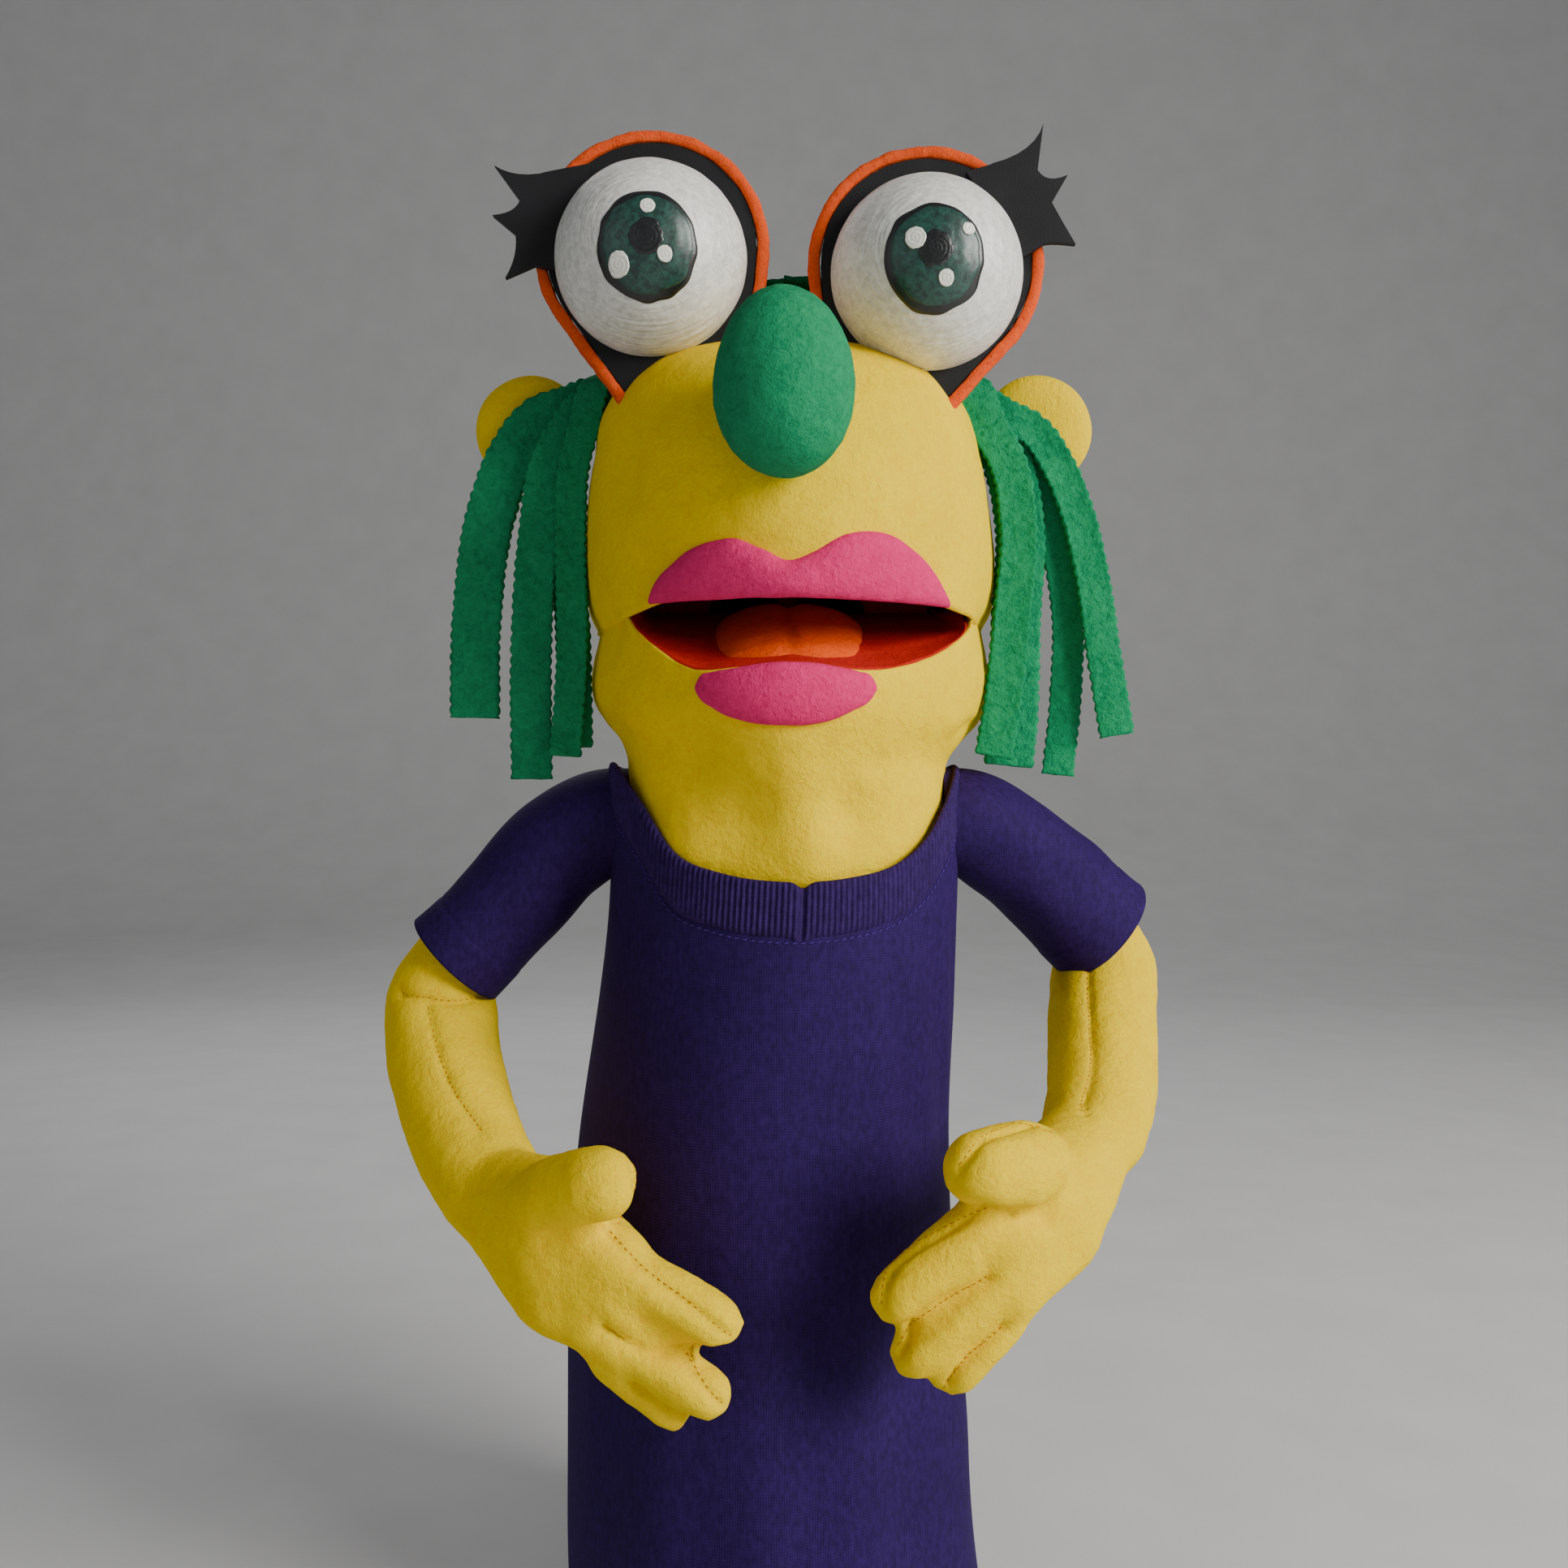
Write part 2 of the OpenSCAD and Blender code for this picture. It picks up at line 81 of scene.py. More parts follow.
PALM = {
    "left": [((80, -62, 166), 14), ((60, -78, 160), 11), ((80, -66, 149), 12), ((62, -77, 137), 11)],
    "right": [((-68, -68, 160), 14), ((-46, -80, 148), 10), ((-66, -72, 134), 12), ((-45, -80, 124), 10)],
}
DIGITS = {
    "left": [((70, -80, 176), (54, -92, 176), 12), ((54, -82, 158), (31, -85, 139), 9),
             ((56, -82, 143), (36, -84, 123), 8.5), ((62, -79, 131), (47, -81, 116), 8)],
    "right": [((-66, -79, 165), (-50, -91, 172), 11.5), ((-44, -82, 146), (-18, -85, 132), 8.6),
              ((-46, -82, 128), (-21, -84, 111), 8.3), ((-50, -78, 119), (-31, -79, 105), 7.5)],
}

# ---------------------------------------------------------------- small tools


def smooth(rows):
    """A smooth function through rows of (x, value, ...)."""
    a = np.array(rows, float)
    x, y = a[:, 0], a[:, 1:]
    slope = np.gradient(y, x, axis=0)

    def at(q):
        q = np.clip(np.asarray(q, float), x[0], x[-1])
        i = np.clip(np.searchsorted(x, q, "right") - 1, 0, len(x) - 2)
        h = (x[i + 1] - x[i])[..., None]
        t = (q - x[i])[..., None] / h
        out = ((2 * t**3 - 3 * t**2 + 1) * y[i] + (t**3 - 2 * t**2 + t) * h * slope[i]
               + (3 * t**2 - 2 * t**3) * y[i + 1] + (t**3 - t**2) * h * slope[i + 1])
        return out[..., 0] if y.shape[1] == 1 else out

    return at


def step(a, b, x):
    t = np.clip((x - a) / (b - a), 0, 1)
    return t * t * (3 - 2 * t)


def unit(v):
    v = np.asarray(v, float)
    return v / np.linalg.norm(v, axis=-1, keepdims=True)


def rough_field(points, size, seed):
    """Noise from -1 to 1 at each point, with features about size wide."""
    off = Vector((seed * 7.31, seed * 3.17, seed * 5.73))
    return np.array([noise.noise(Vector(p) / size + off) for p in np.reshape(points, (-1, 3))])


def piece(name, verts, faces, material, shade=True):
    mesh = bpy.data.meshes.new(name)
    mesh.from_pydata((np.asarray(verts, float) * MM).tolist(), [], [list(map(int, f)) for f in faces])
    mesh.update()
    obj = bpy.data.objects.new(name, mesh)
    bpy.context.scene.collection.objects.link(obj)
    if material is not None:
        mesh.materials.append(material)
    if shade:
        mesh.shade_smooth()
    return obj


def grid_faces(m, n, wrap=False, offset=0, flip=False):
    cols = n if wrap else n - 1
    j, i = np.meshgrid(np.arange(m - 1), np.arange(cols), indexing="ij")
    k = (i + 1) % n
    f = np.stack([j * n + i, j * n + k, (j + 1) * n + k, (j + 1) * n + i], -1).reshape(-1, 4) + offset
    return f[:, ::-1] if flip else f


def grid(name, rows, material, wrap=False, flip=False):
    rows = np.asarray(rows, float)
    m, n, _ = rows.shape
    return piece(name, rows.reshape(-1, 3), grid_faces(m, n, wrap, 0, flip), material)


def final(obj):
    """Leaves the object with its modifiers' result as its mesh."""
    dg = bpy.context.evaluated_depsgraph_get()
    mesh = bpy.data.meshes.new_from_object(obj.evaluated_get(dg))
    old = obj.data
    obj.modifiers.clear()
    obj.data = mesh
    bpy.data.meshes.remove(old)
    mesh.shade_smooth()
    return obj


def thicken(obj, t, offset=-1.0):
    mod = obj.modifiers.new("thick", "SOLIDIFY")
    mod.thickness, mod.offset = t * MM, offset
    return final(obj)


def subdivide(obj, levels=1):
    mod = obj.modifiers.new("fine", "SUBSURF")
    mod.levels = mod.render_levels = levels
    return final(obj)


def coords(obj):
    co = np.empty(len(obj.data.vertices) * 3)
    obj.data.vertices.foreach_get("co", co)
    return co.reshape(-1, 3) / MM


def normals(obj):
    co = np.empty(len(obj.data.vertices) * 3)
    obj.data.vertices.foreach_get("normal", co)
    return co.reshape(-1, 3)


def place(obj, co):
    obj.data.vertices.foreach_set("co", (np.asarray(co) * MM).ravel())
    obj.data.update()
    return obj


def uneven(obj, amount, size, seed):
    """Moves the surface in and out a little, as soft fabric does."""
    co = coords(obj)
    return place(obj, co + normals(obj) * (rough_field(co, size, seed) * amount)[:, None])


def frames_along(path, side):
    """Tangent, outward and front directions along an arm's centre line."""
    path = np.asarray(path, float)
    t = unit(np.gradient(path, axis=0))
    y = np.array([0.0, 1.0, 0.0])
    out = unit(np.cross(t, y)) * side
    front = unit(-y + (t @ y)[:, None] * t)
    return t, out, front


def through(points, n):
    """n points on a smooth curve through the given ones, evenly spaced."""
    p = np.asarray(points, float)
    d = np.r_[0, np.cumsum(np.linalg.norm(np.diff(p[:, :3], axis=0), axis=1))]
    f = smooth(np.c_[d, p])
    return f(np.linspace(0, d[-1], n))


def tube_rows(points, n, side, around=64, wave=None):
    """Rings round a path of (x, y, z, outward radius, front radius)."""
    rows = through(points, n)
    path = rows[:, :3]
    _, out, front = frames_along(path, side)
    a = np.linspace(0, 2 * np.pi, around, endpoint=False)
    ro, rf = rows[:, 3:4], rows[:, 4:5]
    if wave is not None:
        extra = wave(np.linspace(0, 1, n)[:, None], a[None, :])
        ro, rf = ro + extra, rf + extra
    else:
        ro, rf = ro + 0 * a, rf + 0 * a
    return (path[:, None, :] + (ro * np.cos(a))[..., None] * out[:, None, :]
            + (rf * np.sin(a))[..., None] * front[:, None, :])


def stitches(name, points, outs, material, pitch=2.6, length=1.7, thick=0.45, slant=0.0):
    """A row of sewn stitches along points that lie on a surface whose outward directions are outs."""
    points, outs = np.asarray(points, float), np.asarray(outs, float)
    d = np.r_[0, np.cumsum(np.linalg.norm(np.diff(points, axis=0), axis=1))]
    at = np.arange(pitch / 2, d[-1], pitch)
    c = np.stack([np.interp(at, d, points[:, k]) for k in range(3)], -1)
    o = unit(np.stack([np.interp(at, d, outs[:, k]) for k in range(3)], -1))
    ahead = np.stack([np.interp(at + 0.3, d, points[:, k]) for k in range(3)], -1)
    back = np.stack([np.interp(at - 0.3, d, points[:, k]) for k in range(3)], -1)
    t = unit(ahead - back)
    w = unit(np.cross(o, t))
    t = unit(t + slant * w)
    w = np.cross(o, t)
    verts, faces = [], []
    u = np.linspace(-1, 1, 6)
    b = np.linspace(0, 2 * np.pi, 6, endpoint=False)
    for k in range(len(at)):
        base = len(verts)
        for q in u:
            r = thick / 2 * math.sqrt(max(0.06, 1 - q * q))
            mid = c[k] + t[k] * q * length / 2 + o[k] * (thick * 0.25 * (1 - q * q))
            for ang in b:
                verts.append(mid + w[k] * r * math.cos(ang) + o[k] * r * math.sin(ang))
        faces += (grid_faces(6, 6, True) + base).tolist()
        faces.append(list(range(base + 5, base - 1, -1)))
        faces.append(list(range(base + 30, base + 36)))
    return piece(name, verts, faces, material)


# ---------------------------------------------------------------- materials


class Nodes:
    """Builds one procedural material."""

    def __init__(self, name):
        self.mat = bpy.data.materials.new(name)
        self.mat.use_nodes = True
        self.tree = self.mat.node_tree
        self.bsdf = self.tree.nodes["Principled BSDF"]
        coord = self.add("ShaderNodeTexCoord")
        self.place = coord.outputs["Object"]

    def add(self, kind, **values):
        node = self.tree.nodes.new(kind)
        for key, value in values.items():
            setattr(node, key, value)
        return node

    def link(self, a, b):
        self.tree.links.new(a, b)

    def mapped(self, scale):
        node = self.add("ShaderNodeMapping")
        node.inputs["Scale"].default_value = scale
        self.link(self.place, node.inputs["Vector"])
        return node.outputs["Vector"]

    def noise(self, size, detail=3.0, rough=0.55, vector=None, distortion=0.0):
        node = self.add("ShaderNodeTexNoise")
        node.inputs["Scale"].default_value = 1000.0 / size
        node.inputs["Detail"].default_value = detail
        node.inputs["Roughness"].default_value = rough
        node.inputs["Distortion"].default_value = distortion
        self.link(vector or self.place, node.inputs["Vector"])
        return node.outputs["Fac"]

    def cells(self, size, feature="F1", vector=None):
        node = self.add("ShaderNodeTexVoronoi", feature=feature)
        node.inputs["Scale"].default_value = 1000.0 / size
        self.link(vector or self.place, node.inputs["Vector"])
        return node.outputs["Distance"]

    def wave(self, size, direction="X", vector=None, distortion=0.0):
        node = self.add("ShaderNodeTexWave", bands_direction=direction)
        node.inputs["Scale"].default_value = 1000.0 / size / 3.2
        node.inputs["Distortion"].default_value = distortion
        self.link(vector or self.place, node.inputs["Vector"])
        return node.outputs["Fac"]

    def math(self, op, a, b):
        node = self.add("ShaderNodeMath", operation=op)
        for socket, value in zip(node.inputs, (a, b)):
            if isinstance(value, (int, float)):
                socket.default_value = value
            else:
                self.link(value, socket)
        return node.outputs[0]

    def ramp(self, fac, stops):
        node = self.add("ShaderNodeValToRGB")
        while len(node.color_ramp.elements) < len(stops):
            node.color_ramp.elements.new(0.5)
        for element, (pos, colour) in zip(node.color_ramp.elements, stops):
            element.position = pos
            element.color = (*colour, 1)
        self.link(fac, node.inputs["Fac"])
        return node.outputs["Color"]

    def multiply(self, a, b, amount):
        node = self.add("ShaderNodeMix", data_type="RGBA", blend_type="MULTIPLY")
        node.inputs["Factor"].default_value = amount
        self.link(a, node.inputs[6])
        self.link(b, node.inputs[7])
        return node.outputs[2]

    def bump(self, *layers):
        """layers of (height, distance in mm, strength)"""
        previous = None
        for height, distance, strength in layers:
            node = self.add("ShaderNodeBump")
            node.inputs["Distance"].default_value = distance * MM
            node.inputs["Strength"].default_value = strength
            self.link(height, node.inputs["Height"])
            if previous is not None:
                self.link(previous, node.inputs["Normal"])
            previous = node.outputs["Normal"]
        self.link(previous, self.bsdf.inputs["Normal"])

    def done(self, colour, **values):
        self.link(colour, self.bsdf.inputs["Base Color"])
        for key, value in values.items():
            socket = self.bsdf.inputs[key.replace("_", " ")]
            if hasattr(value, "links"):
                self.link(value, socket)
            else:
                socket.default_value = value
        return self.mat


def srgb(r, g, b):
    return tuple(((c / 255 + 0.055) / 1.055) ** 2.4 if c > 10 else c / 255 / 12.92 for c in (r, g, b))


def blend_rgb(a, b, t):
    return tuple(x * (1 - t) + y * t for x, y in zip(a, b))


def fleece(name, light, dark, nub=1.3, depth=0.5, sheen=0.25, speck=0.5):
    n = Nodes(name)
    fibre = n.noise(0.42, 4, 0.7, n.mapped((1.0, 1.0, 0.55)))
    nubs = n.noise(nub, 2.5, 0.6, distortion=0.6)
    clumps = n.noise(nub * 3.2, 2, 0.5, distortion=1.2)
    broad = n.noise(28, 2, 0.5)
    mixed = n.math("ADD", n.math("MULTIPLY", n.math("ADD", nubs, clumps), 0.3), n.math("MULTIPLY", fibre, 0.4))
    body = n.ramp(mixed, [(0.3, dark), (0.47, blend_rgb(light, dark, 0.35)), (0.6, light)])
    tone = n.ramp(broad, [(0.35, (1 - 0.16 * speck,) * 3), (0.65, (1, 1, 1))])
    n.bump((clumps, depth * 1.6, 0.5), (nubs, depth, 0.6), (fibre, depth * 0.6, 0.7))
    return n.done(n.multiply(body, tone, 1.0), Roughness=n.math("ADD", n.math("MULTIPLY", fibre, 0.12), 0.85),
                  Sheen_Weight=sheen, Sheen_Roughness=0.45, Sheen_Tint=(*light, 1),
                  Specular_IOR_Level=0.06)


def jersey(name, light, dark, wale=0.75):
    n = Nodes(name)
    loops = n.wave(wale, "X", n.mapped((1, 0.02, 0.02)), 0.0)
    courses = n.wave(wale * 1.1, "Z", n.mapped((0.02, 0.02, 1)), 0.0)
    mottled = n.noise(1.6, 3, 0.65, n.mapped((1, 1, 0.5)))
    broad = n.noise(45, 2, 0.5)
    mixed = n.math("ADD", n.math("MULTIPLY", mottled, 0.8), n.math("MULTIPLY", n.math("MULTIPLY", loops, courses), 0.2))
    body = n.ramp(mixed, [(0.3, dark), (0.7, light)])
    tone = n.ramp(broad, [(0.3, (0.8, 0.8, 0.82)), (0.7, (1, 1, 1))])
    n.bump((n.math("MULTIPLY", loops, courses), 0.16, 0.5), (mottled, 0.12, 0.35))
    return n.done(n.multiply(body, tone, 1.0), Roughness=n.math("ADD", n.math("MULTIPLY", mottled, 0.1), 0.72),
                  Sheen_Weight=0.04, Sheen_Roughness=0.5, Sheen_Tint=(*light, 1), Specular_IOR_Level=0.14)


def foam(name, light, dark, cell, rough, depth):
    n = Nodes(name)
    pores = n.cells(cell)
    fine = n.noise(cell * 0.6, 3)
    broad = n.noise(20, 2)
    body = n.ramp(n.math("ADD", n.math("MULTIPLY", fine, 0.5), n.math("MULTIPLY", broad, 0.5)),
                  [(0.35, dark), (0.65, light)])
    n.bump((pores, depth, 0.5), (fine, depth * 0.5, 0.4))
    return n.done(body, Roughness=n.math("ADD", n.math("MULTIPLY", fine, 0.1), rough), Specular_IOR_Level=0.3)


def paint(name, light, dark, size, rough, coat, bump=0.12, stretch=(1, 1, 1)):
    n = Nodes(name)
    strokes = n.noise(size, 4, 0.6, n.mapped(stretch), 0.8)
    fine = n.noise(size * 0.35, 3)
    body = n.ramp(strokes, [(0.35, dark), (0.62, light)])
    n.bump((strokes, bump, 0.7), (fine, bump * 0.5, 0.4))
    return n.done(body, Roughness=n.math("ADD", n.math("MULTIPLY", fine, 0.2), rough), Coat_Weight=coat,
                  Coat_Roughness=0.28, Specular_IOR_Level=0.5)


YELLOW = fleece("fleece_yellow", srgb(255, 222, 0), srgb(246, 192, 0), 1.4, 0.6, 0.0, 0.5)
GREEN = fleece("fleece_green", srgb(40, 158, 104), srgb(10, 100, 64), 1.7, 1.0, 0.06, 0.6)
GREEN_NOSE = fleece("fleece_green_nose", srgb(44, 150, 100), srgb(18, 108, 70), 1.2, 0.6, 0.06, 0.5)
PINK = fleece("fleece_pink", srgb(238, 56, 122), srgb(206, 30, 92), 1.4, 0.6, 0.02, 0.5)
ORANGE = fleece("fleece_orange", srgb(248, 96, 22), srgb(222, 66, 8), 1.4, 0.6, 0.02, 0.5)
FELT = fleece("felt_orange", srgb(240, 96, 44), srgb(200, 58, 22), 0.9, 0.4, 0.08, 0.5)
RED = fleece("felt_red", srgb(206, 44, 34), srgb(150, 24, 20), 0.9, 0.35, 0.02, 0.5)
BLACK_FELT = fleece("felt_black", srgb(26, 26, 30), srgb(10, 10, 12), 0.8, 0.3, 0.15, 0.5)
PURPLE = jersey("jersey_purple", srgb(52, 28, 98), srgb(34, 16, 68))
RIB = jersey("rib_purple", srgb(62, 38, 104), srgb(38, 20, 70), 0.6)
THREAD = fleece("thread_purple", srgb(84, 58, 146), srgb(44, 24, 90), 0.3, 0.1, 0.05, 0.3)
YELLOW_THREAD = fleece("thread_yellow", srgb(206, 120, 0), srgb(150, 80, 0), 0.3, 0.1, 0.02, 0.3)
BLACK_FOAM = foam("foam_black", srgb(30, 31, 34), srgb(16, 16, 18), 0.5, 0.6, 0.08)
FOAM = foam("foam_cream", srgb(226, 214, 170), srgb(196, 180, 130), 1.6, 0.85, 0.5)
BOARD = foam("card_grey", srgb(150, 142, 128), srgb(120, 112, 100), 1.0, 0.75, 0.1)
ELASTIC = jersey("elastic_black", srgb(34, 34, 36), srgb(14, 14, 16), 1.1)
WHITE = paint("paint_white", srgb(236, 236, 230), srgb(206, 206, 200), 2.4, 0.34, 0.25)
IRIS = paint("paint_iris", srgb(30, 78, 66), srgb(14, 38, 36), 2.2, 0.3, 0.4)
RING = paint("paint_black", srgb(18, 20, 22), srgb(8, 9, 10), 1.6, 0.28, 0.5)
PUPIL = paint("paint_pupil", srgb(22, 26, 28), srgb(6, 7, 8), 1.2, 0.22, 0.6, 0.2)
DOT = paint("paint_dot", srgb(240, 240, 230), srgb(220, 220, 208), 1.2, 0.3, 0.4)


def metal(name):
    n = Nodes(name)
    drawn = n.noise(0.5, 3, 0.6, n.mapped((1, 1, 0.05)))
    body = n.ramp(drawn, [(0.3, srgb(140, 142, 146)), (0.7, srgb(188, 190, 194))])
    n.bump((drawn, 0.03, 0.4))
    return n.done(body, Metallic=1.0, Roughness=n.math("ADD", n.math("MULTIPLY", drawn, 0.25), 0.28))


WIRE = metal("wire_steel")

for node, mat in {
    "neck_ring": FOAM, "head_foam": FOAM, "jaw_foam": FOAM, "nose_foam": FOAM, "throat_patch": BLACK_FELT,
    "mouth_board_upper": BOARD, "mouth_board_lower": BOARD, "mouth_hinge_tape": RED,
    "finger_strap": ELASTIC, "thumb_strap": ELASTIC, "eye_plate_left": BLACK_FOAM,
    "eye_plate_right": BLACK_FOAM, "upper_wire_left": WIRE, "upper_wire_right": WIRE,
    "fore_wire_left": WIRE, "fore_wire_right": WIRE,
}.items():
    obj = nodes[node]
    if not obj.material_slots:
        obj.data.materials.append(mat)
    for slot in obj.material_slots:
        slot.material = mat

# ---------------------------------------------------------------- torso

LEAN = smooth([(0, -2), (30, -4.5), (80, -6.2), (165, -6.2), (215, -2), (245, 0), (300, 0)])
WIDTH = smooth([(0, HEM_R - 2.2), (30, HEM_R - 2.6), (130, 63.4), (200, 59.4), (230, CHEST_R), (300, CHEST_R)])
COLLAR_TOP = smooth([(-180, 281), (-135, 281.5), (-108, 286), (-92, 287.5), (-71, 287), (-52, 275.5), (-36, 260),
                     (-20, 254.5), (0, 252), (20, 253), (36, 256.5), (51, 264.5), (62, 273.5), (79, 285),
                     (92, 287.5), (108, 286), (135, 281.5), (180, 281)])
COLLAR_BAND = 16.5


def torso_ring(deg, z, grow=0.0, folds=1.0):
    """Points on the shirt at angles in degrees from the front, own left positive."""
    deg, z = np.broadcast_arrays(np.asarray(deg, float), np.asarray(z, float))
    a = np.radians(deg)
    soft = rough_field(np.stack([np.sin(a) * 46, -np.cos(a) * 46, z * 0.22], -1), 17, 3).reshape(deg.shape)
    drape = (1 - step(60, 235, z)) * 1.9 + 0.35
    sweep = np.sin(a * 5 + 0.8 + z * 0.012) * 0.5 * (1 - step(40, 220, z))
    pull = step(20, 46, deg) * (1 - step(62, 92, deg)) * step(120, 200, z) * (1 - step(222, 245, z))
    hang = 0.7 * np.sin((deg + (z - 230) * 0.22) / 3.1) * pull
    r = WIDTH(z) + grow + folds * (soft * drape + sweep + hang)
    return np.stack([LEAN(z) + r * np.sin(a), -r * np.cos(a), z], -1)


deg = np.linspace(-180, 180, 320, endpoint=False)
rise = np.linspace(0, 1, 110)[:, None]
top = COLLAR_TOP(deg)[None, :] - COLLAR_BAND + 1.5
shirt = grid("shirt", torso_ring(deg[None, :] + 0 * rise, top * rise), PURPLE, wrap=True)
shirt = thicken(shirt, 1.0)
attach(shirt, "torso")
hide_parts("shirt_body")

low = np.linspace(0, 1, 60)[:, None]
lining = grid("forearm_sleeve", torso_ring(deg[None, ::2] + 0 * low, 232 * low + 0.4, -2.6), YELLOW, wrap=True)
lining = thicken(lining, 1.6)
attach(lining, "torso")
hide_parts("body_sleeve")

hem_loop = [(0.15, HEM_TOP - 0.6), (0.75, HEM_TOP), (1.15, HEM_TOP - 0.8), (1.25, HEM_TOP * 0.5), (1.35, 2.2),
            (1.2, 0.7), (0.4, 0.1), (-0.9, 0.2), (-1.5, 0.9), (-1.6, HEM_TOP - 2)]
hem = grid("shirt_hem_band", [torso_ring(deg, z, g) for g, z in hem_loop][::-1], PURPLE, wrap=True)
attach(hem, "torso")
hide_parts("shirt_hem")
for k, h in enumerate((HEM_TOP - 2.0, HEM_TOP - 4.6)):
    around = np.linspace(-180, 180, 721)
    line = torso_ring(around, h + 0 * around, 1.25)
    seam = stitches(f"hem_stitch_{k}", line, line - torso_ring(around, h + 0 * around, 0.2), THREAD, 2.4, 1.7, 0.4)
    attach(seam, "torso")

# Collar: a folded rib band whose ends meet in a small notch at the front
RIBS, PER_RIB = 206, 6
fine_deg = np.linspace(-180, 180, RIBS * PER_RIB, endpoint=False)
JOIN = 5.5
join = np.exp(-((fine_deg - JOIN) / 0.9) ** 2)
rib = 0.5 + 0.5 * np.cos(np.radians(fine_deg + 180) * RIBS)
collar_top = COLLAR_TOP(fine_deg) - 1.9 * np.exp(-((fine_deg - JOIN) / 2.2) ** 2)
profile = [(-1.1, 0.12, 0.0), (-1.3, 0.5, 0.3), (-1.2, 0.9, 0.4), (-0.75, 0.985, 0.5), (-0.2, 1.0, 0.6),
           (0.3, 0.975, 0.9), (0.62, 0.9, 1.0), (0.72, 0.7, 1.0), (0.7, 0.5, 1.0), (0.7, 0.3, 1.0),
           (0.62, 0.12, 1.0), (0.35, 0.03, 0.7), (-0.1, 0.0, 0.3)]
rows = []
for off, h, amount in profile:
    z = collar_top - COLLAR_BAND * (1 - h)
    lean_in = 0.8 * h
    base = torso_ring(fine_deg, z, 0, 0)
    r = off + 0.55 * rib * amount - 0.9 * join * amount - lean_in
    a = np.radians(fine_deg)
    rows.append(base + np.stack([np.sin(a) * r, -np.cos(a) * r, 0 * r], -1))
collar = grid("collar", np.array(rows)[::-1], RIB, wrap=True, flip=False)
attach(collar, "torso")
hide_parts("shirt_collar")
around = np.linspace(-180, 180, 900)
for k, drop in enumerate((COLLAR_BAND + 1.6,)):
    line = torso_ring(around, COLLAR_TOP(around) - drop, 0.1, 1)
    seam = stitches(f"collar_stitch_{k}", line, line * (1, 1, 0), THREAD, 2.5, 1.8, 0.42, 0.25)
    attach(seam, "torso")

# ---------------------------------------------------------------- sleeves

SLEEVE = {
    "right": [(-49, 0, 269.5, 15.6, 19), (-60, 0.2, 268.2, 16.4, 18.4), (-74, 0.8, 260, 17.2, 17),
              (-92, 1.4, 241.2, 17.2, 16.6), (-103, 1.8, 229.5, 17.0, 16.9), (-110.2, 2.0, 222.4, 17.4, 17.2)],
    "left": [(49, 0, 269.5, 15.6, 19), (60, 1.5, 268.4, 16.6, 18.4), (76, 7, 259.5, 17.4, 17),
             (92, 14, 247, 18.3, 16.4), (103, 20, 237, 18.8, 16.8), (110.5, 23.5, 230.5, 19.4, 17.2)],
}
for side, s in SIDES.items():
    def creased(t, a, s=s):
        p = np.stack([np.cos(a) * 12 + 0 * t, np.sin(a) * 12 + 0 * t, t * 34 + 0 * a], -1)
        return (rough_field(p, 9, 11 + s).reshape(p.shape[:2]) * 0.9 * np.sin(np.pi * np.clip(t, 0.05, 1)) ** 0.5
                + 0.35 * step(0.80, 0.86, t) - 0.3 * np.exp(-((t - 0.845) / 0.012) ** 2))
    rows = tube_rows(SLEEVE[side], 90, s, 128, creased)
    sleeve = grid(f"shirt_sleeve_{side}", rows, PURPLE, wrap=True, flip=s > 0)
    sleeve = thicken(sleeve, 1.1, -1.0)
    end = np.array(SLEEVE[side][-1][:3], float)
    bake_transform(sleeve)
    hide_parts(f"sleeve_{side}", f"sleeve_hem_{side}")
    k = 76
    ring = np.vstack([rows[k], rows[k][:1]])
    outs = ring - rows[k].mean(0)
    seam = stitches(f"sleeve_stitch_{side}", ring + unit(outs) * 0.1, outs, THREAD, 2.3, 1.6, 0.38)
    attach(seam, f"sleeve_{side}")

# ---------------------------------------------------------------- arms and hands


def closed_tube(points, n, side, around=32):
    """A tube with rounded ends, for a fused solid."""
    rows = tube_rows(points, n, side, around)
    mid = rows.mean(1, keepdims=True)
    t, _, _ = frames_along(mid[:, 0], side)
    caps = []
    for k, d in ((0, -1), (-1, 1)):
        r = np.linalg.norm(rows[k] - mid[k], axis=1).mean()
        ring = [mid[k] + (rows[k] - mid[k]) * math.cos(q) + d * t[k] * r * math.sin(q) for q in (0.5, 1.0, 1.4)]
        caps.append(ring[::-1] if d < 0 else ring)
    rows = np.concatenate([np.array(caps[0]), rows, np.array(caps[1])])
    m, n2, _ = rows.shape
    faces = grid_faces(m, n2, True).tolist()
    faces.append(list(range(n2 - 1, -1, -1)))
    faces.append(list(range((m - 1) * n2, m * n2)))
    return rows.reshape(-1, 3), faces


def ball_points(centre, r):
    out = []
    for i in range(1, 12):
        lat = math.pi * i / 12 - math.pi / 2
        for j in range(20):
            lon = 2 * math.pi * j / 20
            out.append((centre[0] + r * math.cos(lat) * math.cos(lon), centre[1] + r * math.cos(lat) * math.sin(lon),
                        centre[2] + r * math.sin(lat)))
    return out


def hull_of(balls):
    bm = bmesh.new()
    for c, r in balls:
        for p in ball_points(c, r):
            bm.verts.new(p)
    res = bmesh.ops.convex_hull(bm, input=bm.verts)
    loose = {g for g in res["geom_interior"] + res["geom_unused"] if isinstance(g, bmesh.types.BMVert)}
    bmesh.ops.delete(bm, geom=list(loose), context="VERTS")
    bm.verts.index_update()
    verts = [tuple(v.co) for v in bm.verts]
    faces = [[v.index for v in f.verts] for f in bm.faces]
    bm.free()
    return verts, faces


